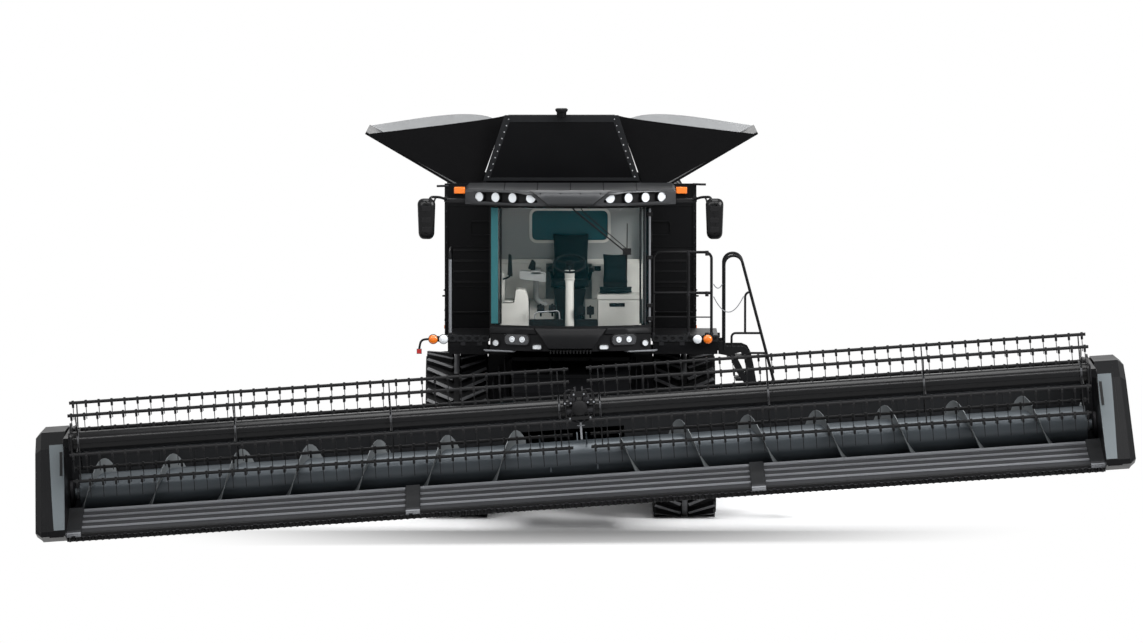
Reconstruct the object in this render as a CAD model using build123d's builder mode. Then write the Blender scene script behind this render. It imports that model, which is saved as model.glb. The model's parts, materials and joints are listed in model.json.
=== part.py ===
"""Track-laying combine harvester with a wide auger header, in millimetres.

X runs across the machine (+X is the operator's left), the machine faces -Y, and Z is up from the ground.
The model is built about the front axle, and is moved at the end so that its origin is the bottom centre
of its bounding box.
"""

from build123d import *
import os
from math import atan2, cos, degrees, hypot, pi, radians, sin

# ---------------------------------------------------------------- clearances
SEAT = 0.3  # a piece at rest on its seat, or a shaft in its bore
RUN = 8  # between pieces that move past each other

# ---------------------------------------------------------------- tracks
TRACK_X = 1385
BELT_W = 762
BELT_T = 35
LUG_H = 55
LUG_T = 42
LUG_LENGTH = 350
LUG_YAW = 27
LUG_PITCH = 152
RIB_W = 66
IDLER_R = 400
IDLER_Y = 800
IDLER_Z = IDLER_R + BELT_T + LUG_H
DRIVE_R = 510
DRIVE_Z = 1350
ROLLER_R = 170
ROLLER_Z = ROLLER_R + BELT_T + LUG_H
TRACK_WHEEL_W = 540
# y, z, radius, hub radius
TRACK_WHEELS = [
    (0, DRIVE_Z, DRIVE_R, 190),
    (-IDLER_Y, IDLER_Z, IDLER_R, 130),
    (IDLER_Y, IDLER_Z, IDLER_R, 130),
    (-210, ROLLER_Z, ROLLER_R, 70),
    (210, ROLLER_Z, ROLLER_R, 70),
]
TRACK_PLATE_T = 60
AXLE_R = 140

# ---------------------------------------------------------------- rear axle
REAR_AXLE_Y = 3950
TYRE_R = 765
TYRE_W = 600
RIM_R = 350
TYRE_LUG_H = 38
TYRE_LUGS = 18
REAR_WHEEL_X = 1420
KINGPIN_X = 1010
KINGPIN_R = 45
EAR_R = 75
REAR_BEAM_H = 180

# ---------------------------------------------------------------- body
BODY_HALF = 1500
WALL = 45
SILL_Z = 2150
BODY_TOP = 3925
WALL_Y = 300
FRONT_WALL = 50
FRONT_WALL_HALF = BODY_HALF + WALL
TANK_REAR = 3000
BAY_REAR = 5500
NOTCH_X = 1075
NOTCH_Z = 3320
HULL_HALF = 720

# grain tank rim and covers
TANK_X = -110
RIM_HALF = 1310
RIM_T = 60
RIM_TOP = BODY_TOP + 48
COVER_T = 30
COVER_REACH = 1262
COVER_LEAN = 30
COVER_Y = (530, 2760)
COVER_TAPER = 150
COVER_Z = RIM_TOP + 12
END_LEAN = 8
END_COVER_Z = COVER_Z + 42
COVER_END_Y = (COVER_Y[0] - 60, COVER_Y[1] + 60)
HINGE_R = 5
FRONT_COVER = (822, 937, 652)  # length, half width at the hinge, half width at the free edge
REAR_COVER = (600, 937, 720)

# unloading auger
UNLOAD_X = 1292
UNLOAD_Y = 600
UNLOAD_Z = 3548
UNLOAD_R = 190
UNLOAD_LENGTH = 7000

# ---------------------------------------------------------------- cab
CAB_HALF = 970
CAB_FLOOR = 2260
CAB_TOP = 3844.7
CAB_REAR = -100
PILLAR = 60
PILLAR_Y = -1440
GLASS_T = 8
GLASS_BOW = 300
GLASS_Z = (2370, 3835)
ROOF_HALF = 1270
ROOF_FRONT = -1960
ROOF_Z = (3845, 4026)
DOOR_Y = (-1150, -170)
DOOR_T = 45
DOOR_AXIS = (984, -174)
DOOR_HINGES = (2700, 3400)
PLATFORM_Z = (2170, 2225)
RAIL_R = 17
RAIL_TOP = 3247
RAIL_X = (1000, 1705)
RAIL_Y = -1240

# ---------------------------------------------------------------- feeder house
FEEDER_PIVOT = (-500, 1800)
FEEDER_HALF = 710
FEEDER_FRONT = -2480
FEEDER_MOUTH = (640, 1400)
FEEDER_WALL = 12

# ---------------------------------------------------------------- header
TILT = 3.9
ROLL_Z = 1500
AUGER_Y = -3280
AUGER_Z = 900
AUGER_TUBE_R = 232
AUGER_R = 400
AUGER_PITCH = 805
FLIGHT_T = 8
TROUGH_R = 425
SHEET = 12
HEADER_HALF = 6100
END_W = 350
WALL_BACK = 500
BEAM_TOP = 607
BEAM = 150
HEADER_SHIFT = 115  # the header reaches further to the operator's left than to the right
FEED_X = -HEADER_SHIFT
FEED_HALF = 620
FEED_Z = (-240, 330)
DECK_REAR = (-450, -167)
DECK_FRONT = (-1330, -363)
DECK_LIP = 80
DIVIDER_W = 162
GUARD_PITCH = 76.2
GUARD_LENGTH = 120
REEL_Y = -1000
REEL_Z = 694
REEL_R = 472
REEL_TUBE_R = 122
REEL_PHASE = 46
REEL_BATS = 6
BAT_R = 19
TINE_PITCH = 152.4
TINE_LENGTH = 200
REEL_END = HEADER_HALF - 110
REEL_GAP = 105
SPIDERS = (240, 0.364 * HEADER_HALF, 0.664 * HEADER_HALF, REEL_END - 90)
SPIDER_T = 14
ARM_X = HEADER_HALF - 50
ARM_T = 55
ARM_PIVOT = (WALL_BACK - 50, 720)


def slab(xs, ys, zs, mode=Mode.ADD):
    """A box between two corners, in the builder that is open."""
    with Locations(((xs[0] + xs[1]) / 2, (ys[0] + ys[1]) / 2, (zs[0] + zs[1]) / 2)):
        Box(abs(xs[1] - xs[0]), abs(ys[1] - ys[0]), abs(zs[1] - zs[0]), mode=mode)


def side_prism(outline, xs, mode=Mode.ADD):
    """A side profile of (y, z) points, from xs[0] to xs[1] across the machine."""
    with BuildSketch(Plane.YZ.offset(xs[0])) as profile:
        with BuildLine():
            Polyline(*outline, close=True)
        make_face()
    extrude(profile.sketch, amount=xs[1] - xs[0], mode=mode)


def front_prism(outline, ys, mode=Mode.ADD):
    """A front profile of (x, z) points, from ys[0] back to ys[1]."""
    with BuildSketch(Plane.XZ.offset(-ys[1])) as profile:
        with BuildLine():
            Polyline(*outline, close=True)
        make_face()
    extrude(profile.sketch, amount=ys[1] - ys[0], mode=mode)


def plan_prism(outline, zs, mode=Mode.ADD):
    """A plan of (x, y) points, from zs[0] up to zs[1]."""
    with BuildSketch(Plane.XY.offset(zs[0])) as profile:
        with BuildLine():
            Polyline(*outline, close=True)
        make_face()
    extrude(profile.sketch, amount=zs[1] - zs[0], mode=mode)


def tube(points, radius, bend):
    """A round bar bent along the points."""
    with BuildLine() as path:
        if len(points) > 2:
            FilletPolyline(*points, radius=bend)
        else:
            Line(*points)
    with BuildSketch(Plane(origin=path.line @ 0, z_dir=path.line % 0)) as section:
        Circle(radius)
    sweep(section.sketch, path=path.line)


def across(x, y, z):
    """A place whose own z runs across the machine."""
    return Location((x, y, z), (0, 90, 0))


def disc(x, y, z, radius, width, mode=Mode.ADD):
    """A round piece whose axis runs across the machine, centred on x."""
    with Locations(across(x, y, z)):
        Cylinder(radius, width, mode=mode)


parts = {}


def keep(name, built):
    """Stores a finished piece under its node's name."""
    shape = built.part if isinstance(built, BuildPart) else built
    shape.label = name
    parts[name] = shape


def mirrored(built):
    """A piece and its mirror image on the other side, as one node."""
    return Compound(children=[*built.part.solids(), *mirror(built.part, Plane.YZ).solids()])


def flighting(start, end, top, pitch, inner, outer, thick, steps):
    """Auger flighting rolled from flat sectors about the X axis, with its edge at the top where x is top.

    Going from start to end, the flighting turns from the top over the front and down.
    """
    way = 1 if end > start else -1
    count = round(abs(end - start) / pitch * steps)
    with BuildPart() as spiral:
        for index in range(count + 1):
            x = start + (end - start) * index / count
            turn = way * (x - top) / pitch * 360
            place = Plane(origin=(x, 0, 0), x_dir=(0, -sin(radians(turn)), cos(radians(turn))),
                          z_dir=(0, -cos(radians(turn)), -sin(radians(turn))))
            with BuildSketch(place):
                with Locations(((inner + outer) / 2, 0)):
                    Rectangle(outer - inner, thick)
        loft(ruled=True)
    return spiral.part


# ---------------------------------------------------------------- track units
def loop_sketch(grow, x):
    """The side outline of the track's belt at x, grown outward."""
    with BuildSketch(Plane.YZ.offset(x)) as outline:
        for y, z, radius, _ in TRACK_WHEELS[:3]:
            with Locations((y, z)):
                Circle(radius + grow)
        make_hull()
    return outline.sketch


def lug_places(wire, count, side):
    """Where one side's bars stand on the belt, each leaning back to the rib."""
    places = []
    for index in range(count):
        seat = wire @ (index / count)
        outward = (wire % (index / count)).cross(Vector(1, 0, 0))
        if outward.dot(seat - Vector(seat.X, 0, 800)) < 0:
            outward = outward * -1
        frame = Plane(origin=seat + Vector(side * 205, 0, 0), x_dir=Vector(1, 0, 0), z_dir=outward)
        places.append(frame.location * Location((0, 0, 0), (0, 0, side * LUG_YAW)))
    return places


lug_wire = loop_sketch(BELT_T, TRACK_X).face().outer_wire()
lug_count = round(lug_wire.length / LUG_PITCH)
with BuildPart() as belt:
    extrude(loop_sketch(BELT_T, TRACK_X - BELT_W / 2), amount=BELT_W)
    extrude(loop_sketch(BELT_T + LUG_H - 8, TRACK_X - RIB_W / 2), amount=RIB_W)
    for side in (-1, 1):
        with Locations(*lug_places(lug_wire, lug_count, side)):
            Box(LUG_LENGTH, LUG_T, 2 * LUG_H)
    extrude(loop_sketch(0.5, TRACK_X - BELT_W / 2 - 1), amount=BELT_W + 2, mode=Mode.SUBTRACT)
    slab((0, 2 * TRACK_X), (-2000, 2000), (-200, 0), Mode.SUBTRACT)

with BuildPart() as rollers:
    for y, z, radius, hub in TRACK_WHEELS:
        disc(TRACK_X, y, z, radius, TRACK_WHEEL_W)
        disc(TRACK_X + TRACK_WHEEL_W / 2, y, z, radius - 40, 300, Mode.SUBTRACT)
        disc(TRACK_X - TRACK_WHEEL_W / 2, y, z, radius - 40, 300, Mode.SUBTRACT)
        disc(TRACK_X, y, z, hub, TRACK_WHEEL_W - 20)
        disc(TRACK_X, y, z, hub - 40 + SEAT, TRACK_WHEEL_W, Mode.SUBTRACT)

PLATE_X = TRACK_X - TRACK_WHEEL_W / 2 - 12
with BuildPart() as unit:
    with BuildSketch(Plane.YZ.offset(PLATE_X - TRACK_PLATE_T)) as plate:
        for y, z, radius, hub in TRACK_WHEELS[:3]:
            with Locations((y, z)):
                Circle(hub + 40)
        make_hull()
    extrude(amount=TRACK_PLATE_T)
    for y, z, radius, hub in TRACK_WHEELS:
        if z == ROLLER_Z:
            slab((PLATE_X - TRACK_PLATE_T, PLATE_X), (y - 60, y + 60), (z - 90, IDLER_Z))
        disc(PLATE_X + TRACK_WHEEL_W / 2 - 10, y, z, hub - 40, TRACK_WHEEL_W + 40)

keep("track_belt_left", belt)
keep("track_belt_right", mirror(belt.part, Plane.YZ))
unit_solids = [*unit.part.solids(), *rollers.part.solids()]
keep("track_unit_left", Compound(children=unit_solids))
keep("track_unit_right", Compound(children=[mirror(solid, Plane.YZ) for solid in unit_solids]))

AXLE_END = PLATE_X - TRACK_PLATE_T - SEAT
with BuildPart() as axle:
    disc(0, 0, DRIVE_Z, AXLE_R, 2 * AXLE_END)
    for side in (-1, 1):
        disc(side * (AXLE_END - 40), 0, DRIVE_Z, AXLE_R + 70, 80)

# ---------------------------------------------------------------- hull between the tracks
HULL_FRONT = -420
HULL_REAR = 5150
HULL_TOP = 2120
HULL = [(HULL_FRONT, HULL_TOP), (HULL_FRONT, 1180), (-160, 900), (2800, 900), (3250, 1060), (4700, 1060),
        (HULL_REAR, 1500), (HULL_REAR, HULL_TOP)]
with BuildPart() as hull:
    side_prism(HULL, (-HULL_HALF, HULL_HALF))
    for ys in ((HULL_FRONT - 1, HULL_FRONT + 260), (HULL_REAR - 260, HULL_REAR + 1)):
        slab((-HULL_HALF + 60, HULL_HALF - 60), ys, (1580, HULL_TOP - 80), Mode.SUBTRACT)
    for side in (-1, 1):
        slab((side * (FEEDER_HALF + RUN), side * (FEEDER_HALF + RUN + 30)), (-600, -300), (1700, 1900))
    disc(0, FEEDER_PIVOT[0], FEEDER_PIVOT[1], 60 + SEAT, 3 * HULL_HALF, Mode.SUBTRACT)
    disc(0, 0, DRIVE_Z, AXLE_R + SEAT, 3 * HULL_HALF, Mode.SUBTRACT)

with BuildPart() as chassis:
    for side in (-1, 1):
        x = side * (HULL_HALF + 65.3)
        slab((x - 65, x + 65), (-380, 5050), (1960, 2120))
        front_prism([(x - 65, 1960), (x + 65, 1960), (x + 65, DRIVE_Z - 200), (x - 65, DRIVE_Z - 200)],
                    (-200, 200))
    disc(0, 0, DRIVE_Z, AXLE_R + SEAT, 3 * HULL_HALF, Mode.SUBTRACT)

# ---------------------------------------------------------------- rear axle
BEAM_Z = TYRE_R
with BuildPart() as rear_beam:
    slab((-KINGPIN_X + 110, KINGPIN_X - 110), (REAR_AXLE_Y - 90, REAR_AXLE_Y + 90),
         (BEAM_Z - 90, BEAM_Z + 90))
    slab((-260, 260), (REAR_AXLE_Y - 110, REAR_AXLE_Y + 110), (BEAM_Z + 89, 1060 - SEAT))
    for side in (-1, 1):
        for z in (BEAM_Z - 120, BEAM_Z + 120):
            slab(sorted((side * (KINGPIN_X - 130), side * KINGPIN_X)),
                 (REAR_AXLE_Y - EAR_R, REAR_AXLE_Y + EAR_R), (z - 30, z + 30))
            with Locations((side * KINGPIN_X, REAR_AXLE_Y, z)):
                Cylinder(EAR_R, 60)
        with Locations((side * KINGPIN_X, REAR_AXLE_Y, BEAM_Z)):
            Cylinder(KINGPIN_R + SEAT, 500, mode=Mode.SUBTRACT)
keep("axles", Compound(children=[*axle.part.solids(), *rear_beam.part.solids()]))

with BuildPart() as knuckle:
    with Locations((KINGPIN_X, REAR_AXLE_Y, BEAM_Z)):
        Cylinder(KINGPIN_R, 310)
        Cylinder(85, 160)
    disc(KINGPIN_X + 180, REAR_AXLE_Y, BEAM_Z, 60, 360)
    disc(KINGPIN_X + 130, REAR_AXLE_Y, BEAM_Z, 110, 90)
keep("knuckle_left", knuckle)
keep("knuckle_right", mirror(knuckle.part, Plane.YZ))

with BuildPart() as rim:
    disc(REAR_WHEEL_X, REAR_AXLE_Y, BEAM_Z, RIM_R, TYRE_W - 120)
    disc(REAR_WHEEL_X, REAR_AXLE_Y, BEAM_Z, RIM_R - 25, TYRE_W, Mode.SUBTRACT)
    disc(REAR_WHEEL_X - 60, REAR_AXLE_Y, BEAM_Z, RIM_R - 20, 24)
    disc(REAR_WHEEL_X - 60, REAR_AXLE_Y, BEAM_Z, 120, 160)
    disc(REAR_WHEEL_X - 180, REAR_AXLE_Y, BEAM_Z, 60 + SEAT, 400, Mode.SUBTRACT)
keep("rear_rim_left", rim)
keep("rear_rim_right", mirror(rim.part, Plane.YZ))

CARCASS_R = TYRE_R - TYRE_LUG_H
HALF_W = TYRE_W / 2
with BuildPart() as tyre:
    with BuildSketch(Plane.XY) as section:
        with BuildLine():
            Polyline(
                (-HALF_W + 60, RIM_R + SEAT), (-HALF_W, RIM_R + 130), (-HALF_W + 10, CARCASS_R - 110),
                (-HALF_W + 70, CARCASS_R - 20), (-HALF_W + 160, CARCASS_R),
                (HALF_W - 160, CARCASS_R), (HALF_W - 70, CARCASS_R - 20), (HALF_W - 10, CARCASS_R - 110),
                (HALF_W, RIM_R + 130), (HALF_W - 60, RIM_R + SEAT), close=True)
        make_face()
    revolve(axis=Axis.X)
    for turn in range(TYRE_LUGS):
        for side in (-1, 1):
            angle = 360 / TYRE_LUGS * (turn + (0.5 if side > 0 else 0))
            with Locations(Location((0, 0, 0), (angle, 0, 0)) * Location(
                    (side * 138, 0, TYRE_R - TYRE_LUG_H - 25), (0, 0, side * 40))):
                Box(290, 52, 2 * TYRE_LUG_H + 36)
    with Locations(across(0, 0, 0)):
        Cylinder(TYRE_R, TYRE_W + 100, mode=Mode.INTERSECT)
for name, x in (("rear_tyre_left", REAR_WHEEL_X), ("rear_tyre_right", -REAR_WHEEL_X)):
    keep(name, Location((x, REAR_AXLE_Y, BEAM_Z)) * tyre.part)

HITCH_Y = HULL_REAR + 550
HITCH_Z = 1695
HITCH_R = 16
HITCH_HALF = 75
PLATE_REAR = HULL_REAR + 40
with BuildPart() as hitch:
    slab((-90, 90), (HULL_REAR + SEAT, PLATE_REAR), (HITCH_Z - 125, HITCH_Z + 115))
    for z in (HITCH_Z - HITCH_HALF, HITCH_Z + HITCH_HALF - 40):
        slab((-70, 70), (PLATE_REAR - 10, HITCH_Y + 70), (z, z + 40))
    slab((-70, 70), (PLATE_REAR - 10, HITCH_Y - 90), (HITCH_Z - HITCH_HALF, HITCH_Z + HITCH_HALF))
    with Locations((0, HITCH_Y, HITCH_Z)):
        Cylinder(HITCH_R, 400, mode=Mode.SUBTRACT)

# ---------------------------------------------------------------- body
LOUVRE_Z = (2790, 2920, 3050, 3180)
with BuildPart() as tank:
    slab((-BODY_HALF, BODY_HALF), (WALL_Y, TANK_REAR), (SILL_Z - 20, BODY_TOP))
    front_prism([(-1440, BODY_TOP + 100), (1000, BODY_TOP + 100), (1000, 3260), (1440, 3260), (1440, 3150),
                 (420, 2420), (-420, 2420), (-1440, 3150)], (WALL_Y + FRONT_WALL, TANK_REAR - 50),
                Mode.SUBTRACT)
    slab((NOTCH_X - 60, BODY_HALF + 1), (WALL_Y + 50, TANK_REAR + 1), (NOTCH_Z, BODY_TOP + 1),
         Mode.SUBTRACT)
    slab((NOTCH_X - 75, NOTCH_X - 30), (WALL_Y + 49, TANK_REAR), (NOTCH_Z - 80, BODY_TOP))
    slab((-FRONT_WALL_HALF, FRONT_WALL_HALF), (WALL_Y, WALL_Y + FRONT_WALL), (SILL_Z - 20, BODY_TOP + 70))
    for side in (-1, 1):
        inner, outer = side * 975, side * 1215
        slab((inner, outer), (WALL_Y - 1, WALL_Y + 12), (3370, 3520), Mode.SUBTRACT)
        for z in LOUVRE_Z:
            slab((side * 990, side * 1440), (WALL_Y - 1, WALL_Y + 10), (z - 9, z + 9), Mode.SUBTRACT)

with BuildPart() as rim_frame:
    slab((TANK_X - RIM_HALF + 10, TANK_X + RIM_HALF - 10), (WALL_Y + 60, TANK_REAR - 40),
         (BODY_TOP + SEAT, RIM_TOP))
    slab((TANK_X - RIM_HALF + 70, TANK_X + RIM_HALF - 70), (WALL_Y + 120, TANK_REAR - 100),
         (BODY_TOP - 20, RIM_TOP + 50), Mode.SUBTRACT)
    for side in (-1, 1):
        hinge_x = TANK_X + side * RIM_HALF
        slab((hinge_x - side * 30, hinge_x - side * 2), COVER_Y, (RIM_TOP - 2, COVER_Z))
        with Locations(Location((hinge_x, sum(COVER_Y) / 2, COVER_Z), (90, 0, 0))):
            Cylinder(HINGE_R - SEAT, COVER_Y[1] - COVER_Y[0])
    for side, hinge_y in zip((-1, 1), COVER_END_Y):
        slab((TANK_X - FRONT_COVER[1], TANK_X + FRONT_COVER[1]), (hinge_y - side * 1, hinge_y - side * 20),
             (RIM_TOP - 2, END_COVER_Z))
        for edge in (-1, 1):
            slab((TANK_X + edge * FRONT_COVER[1], TANK_X + edge * (RIM_HALF - 11)),
                 (hinge_y - side * 1, hinge_y - side * 20), (RIM_TOP - 8, RIM_TOP + 32))
        disc(TANK_X, hinge_y, END_COVER_Z, HINGE_R - SEAT, 2 * FRONT_COVER[1])

keep("grain_tank", Compound(children=[*tank.part.solids(), *rim_frame.part.solids()]))
TANK_AUGER_Z = 2560
with BuildPart() as cross_augers:
    for y in (1000, 2200):
        disc(0, y, TANK_AUGER_Z, 30, 1146)
tank_flights = [Location((0, y, TANK_AUGER_Z)) * flighting(-400, 400, 0, 240, 28, 125, 10, 8)
                for y in (1000, 2200)]
keep("tank_augers", Compound(children=[
    (bar + spiral).solid() for bar, spiral in zip(cross_augers.part.solids().sort_by(Axis.Y), tank_flights)]))

PANEL_Y = WALL_Y + FRONT_WALL + SEAT
with BuildPart() as side_left:
    slab((BODY_HALF + SEAT, BODY_HALF + WALL), (PANEL_Y, BAY_REAR), (1700, NOTCH_Z))
    side_prism([(WALL_Y - 1, 1699), (2900, 1699), (2500, 2160), (WALL_Y - 1, 2160)],
               (BODY_HALF - 1, BODY_HALF + WALL + 1), Mode.SUBTRACT)
    side_prism([(2960, 1699), (4940, 1699), (4700, 1790), (3200, 1790)],
               (BODY_HALF - 1, BODY_HALF + WALL + 1), Mode.SUBTRACT)
with BuildPart() as side_right:
    slab((-BODY_HALF - WALL, -BODY_HALF - SEAT), (PANEL_Y, BAY_REAR), (1700, BODY_TOP - 20))
    side_prism([(WALL_Y - 1, 1699), (2900, 1699), (2500, 2160), (WALL_Y - 1, 2160)],
               (-BODY_HALF - WALL - 1, -BODY_HALF + 1), Mode.SUBTRACT)
    side_prism([(2960, 1699), (4940, 1699), (4700, 1790), (3200, 1790)],
               (-BODY_HALF - WALL - 1, -BODY_HALF + 1), Mode.SUBTRACT)
    slab((-BODY_HALF - WALL - 1, -BODY_HALF + 1), (3500, 4700), (2500, 3400), Mode.SUBTRACT)
keep("side_panels", Compound(children=[*side_left.part.solids(), *side_right.part.solids()]))

BAY = [(TANK_REAR + SEAT, 2130), (TANK_REAR + SEAT, 3700), (4300, 3700), (5300, 3450), (BAY_REAR, 3000),
       (BAY_REAR, 2130)]
BAY_IN = [(TANK_REAR + 50, 2180), (TANK_REAR + 50, 3655), (4290, 3655), (5270, 3410), (BAY_REAR - 45, 2990),
          (BAY_REAR - 45, 2180)]
with BuildPart() as hood:
    side_prism(BAY, (-BODY_HALF, BODY_HALF))
    side_prism(BAY_IN, (-BODY_HALF + 45, BODY_HALF - 45), Mode.SUBTRACT)
    slab((NOTCH_X - 75, BODY_HALF + 1), (TANK_REAR - 1, BAY_REAR + 1), (NOTCH_Z, BODY_TOP), Mode.SUBTRACT)
    side_prism([(TANK_REAR + 1, NOTCH_Z - 60), (TANK_REAR + 1, 3699), (4299, 3699), (5299, 3449),
                (5330, NOTCH_Z - 60)], (NOTCH_X - 120, NOTCH_X - 75))
    slab((NOTCH_X - 120, BODY_HALF - 1), (TANK_REAR + 1, 5340), (NOTCH_Z - 60, NOTCH_Z - 20))
    slab((-BODY_HALF - 1, -BODY_HALF + 46), (3500, 4700), (2500, 3400), Mode.SUBTRACT)
keep("rear_hood", hood)
with BuildPart() as screen:
    slab((-BODY_HALF - 35, -BODY_HALF + 60), (3500 + SEAT, 4700 - SEAT), (2500 + SEAT, 3400 - SEAT))
keep("cooling_screen", screen)
with BuildPart() as engine:
    slab((-500, 500), (3500, 5000), (2180 + SEAT, 3100))
keep("engine_block", engine)

CHOPPER_REAR = HULL_REAR + 450
CHOPPER_Z = (1000, 1560)
SPREADER_X = 330
SPREADER_Y = HULL_REAR + 240
SPREADER_Z = 930
SPREADER_R = 290
with BuildPart() as chopper:
    slab((-HULL_HALF, HULL_HALF), (HULL_REAR + SEAT, CHOPPER_REAR), CHOPPER_Z)
    slab((-HULL_HALF + 30, HULL_HALF - 30), (HULL_REAR + 50, CHOPPER_REAR - 40),
         (CHOPPER_Z[0] - 100, CHOPPER_Z[1] - 60), Mode.SUBTRACT)
    slab((-HULL_HALF, HULL_HALF), (HULL_REAR + SEAT, PLATE_REAR), (CHOPPER_Z[1] - 1, HULL_TOP))
    slab((-90 - SEAT, 90 + SEAT), (HULL_REAR - 50, CHOPPER_REAR + 1), (HITCH_Z - 125 - SEAT, HITCH_Z + 115 + SEAT),
         Mode.SUBTRACT)
    for side in (-1, 1):
        with Locations((side * SPREADER_X, SPREADER_Y, CHOPPER_Z[0] + 25)):
            Cylinder(30, 129.4)
        slab((side * SPREADER_X - 40, side * SPREADER_X + 40), (PLATE_REAR, CHOPPER_REAR - 35),
             (CHOPPER_Z[0] + 40, CHOPPER_Z[0] + 90))
keep("straw_chopper", chopper)
with BuildPart() as spreader:
    with Locations((SPREADER_X, SPREADER_Y, SPREADER_Z)):
        Cylinder(SPREADER_R, 12)
        Cylinder(60, 60)
    for turn in range(4):
        with Locations(Location((SPREADER_X, SPREADER_Y, SPREADER_Z + 20), (0, 0, 45 + 90 * turn))
                       * Location((170, 0, -30))):
            Box(230, 8, 60)
keep("spreader_disc_left", spreader)
keep("spreader_disc_right", mirror(spreader.part, Plane.YZ))

# ---------------------------------------------------------------- tank covers
def lean(x, z, angle):
    """A side cover's plane: its own x runs up the cover, and its z is the cover's normal."""
    up = Vector(cos(radians(angle)), 0, sin(radians(angle)))
    return Plane(origin=(x, 0, z), x_dir=up, z_dir=up.cross(Vector(0, 1, 0)))


cover_left_plane = lean(TANK_X + RIM_HALF, COVER_Z, COVER_LEAN)
with BuildPart() as cover:
    with BuildSketch(cover_left_plane) as blank:
        with BuildLine():
            Polyline((-1, COVER_Y[0]), (COVER_REACH, COVER_Y[0] + COVER_TAPER),
                     (COVER_REACH, COVER_Y[1] - COVER_TAPER), (-1, COVER_Y[1]), close=True)
        make_face()
    extrude(amount=COVER_T, dir=tuple(-1 * cover_left_plane.z_dir) if cover_left_plane.z_dir.Z > 0
            else tuple(cover_left_plane.z_dir))
cover_below = cover.part
keep("cover_left", Location(tuple((cover_left_plane.z_dir if cover_left_plane.z_dir.Z < 0
                                   else -1 * cover_left_plane.z_dir) * 5)) * cover_below)
keep("cover_right", mirror(parts["cover_left"], Plane.YZ.offset(TANK_X)))



def end_cover(length, base, top, y, way):
    """A tank end cover that stands up from y and leans out by END_LEAN, way -1 at the front."""
    slope = radians(END_LEAN)
    up = Vector(0, way * sin(slope), cos(slope))
    face = Plane(origin=(TANK_X, y, END_COVER_Z), x_dir=(1, 0, 0), z_dir=up.cross(Vector(1, 0, 0)) * -1)
    with BuildPart() as panel:
        with BuildSketch(face):
            sign = 1 if face.y_dir.Z > 0 else -1
            with BuildLine():
                Polyline((-base, -sign), (base, -sign), (top, length * sign), (-top, length * sign),
                         close=True)
            make_face()
        outward = face.z_dir if face.z_dir.Y * way > 0 else face.z_dir * -1
        extrude(amount=COVER_T, dir=tuple(outward))
    return Location(tuple(outward * 5)) * panel.part


keep("cover_rear", end_cover(*REAR_COVER, COVER_END_Y[1], 1))

FABRIC_T = 6
tip_x = RIM_HALF + COVER_REACH * cos(radians(COVER_LEAN)) + 10
tip_z = COVER_Z + COVER_REACH * sin(radians(COVER_LEAN)) - 20
with BuildPart() as fabric:
    for side in (-1, 1):
        for y in (COVER_Y[0] - 14 - FABRIC_T, COVER_Y[1] + 14):
            rise = FRONT_COVER if y < 1500 else REAR_COVER
            top = END_COVER_Z + rise[0] - 20
            front_prism([(TANK_X + side * (RIM_HALF - 12), RIM_TOP + SEAT), (TANK_X + side * 980, RIM_TOP + SEAT),
                         (TANK_X + side * (rise[1] + 18), END_COVER_Z),
                         (TANK_X + side * (rise[2] + 18), top), (TANK_X + side * tip_x, tip_z),
                         (TANK_X + side * (RIM_HALF + 26), COVER_Z - 6)], (y, y + FABRIC_T))
keep("corner_sheets", Compound(children=list(fabric.part.solids())))
BEACON_R = 60
BEACON_H = 90
with BuildPart() as beacon:
    with Locations((TANK_X, 0, 0)):
        Cylinder(BEACON_R, BEACON_H)
    with BuildSketch(Plane.XY.offset(-BEACON_H / 2)):
        with Locations((TANK_X, 10)):
            SlotOverall(2 * BEACON_R + 40, 2 * BEACON_R, rotation=90)
    extrude(amount=-14)
lift = END_COVER_Z + FRONT_COVER[0] * cos(radians(END_LEAN)) + BEACON_H / 2 - 0.4
beacon_y = COVER_END_Y[0] - FRONT_COVER[0] * sin(radians(END_LEAN)) - BEACON_R - COVER_T
front_cover = end_cover(*FRONT_COVER, COVER_END_Y[0], -1)
keep("cover_front", front_cover + Location((0, beacon_y, lift - 8)) * beacon.part)

# ---------------------------------------------------------------- unloading auger
with BuildPart() as unload:
    with Locations(Location((UNLOAD_X, UNLOAD_Y + UNLOAD_LENGTH / 2, UNLOAD_Z), (90, 0, 0))):
        Cylinder(UNLOAD_R - 20, UNLOAD_LENGTH)
    with Locations((UNLOAD_X, UNLOAD_Y, (NOTCH_Z + SEAT + UNLOAD_Z) / 2)):
        Cylinder(UNLOAD_R - 5, UNLOAD_Z - NOTCH_Z - SEAT)
    with Locations(Location((UNLOAD_X, UNLOAD_Y + UNLOAD_LENGTH + 80, UNLOAD_Z - 60), (70, 0, 0))):
        Cylinder(UNLOAD_R - 30, 420)
    with Locations((UNLOAD_X, UNLOAD_Y, UNLOAD_Z)):
        Sphere(UNLOAD_R - 8)
keep("unloading_auger", unload)

# ---------------------------------------------------------------- cab
BOW = [(-CAB_HALF, PILLAR_Y), (0, PILLAR_Y - GLASS_BOW), (CAB_HALF, PILLAR_Y)]


def bowed(grow, zs, mode=Mode.ADD, rear=CAB_REAR, half=CAB_HALF):
    """The cab's plan, with its bowed front moved forward by grow, between two heights."""
    with BuildSketch(Plane.XY.offset(zs[0])) as plan:
        with BuildLine():
            ThreePointArc((-half, PILLAR_Y - grow), (0, PILLAR_Y - GLASS_BOW - grow), (half, PILLAR_Y - grow))
            Polyline((half, PILLAR_Y - grow), (half, rear), (-half, rear), (-half, PILLAR_Y - grow))
        make_face()
    extrude(plan.sketch, amount=zs[1] - zs[0], mode=mode)


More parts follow.
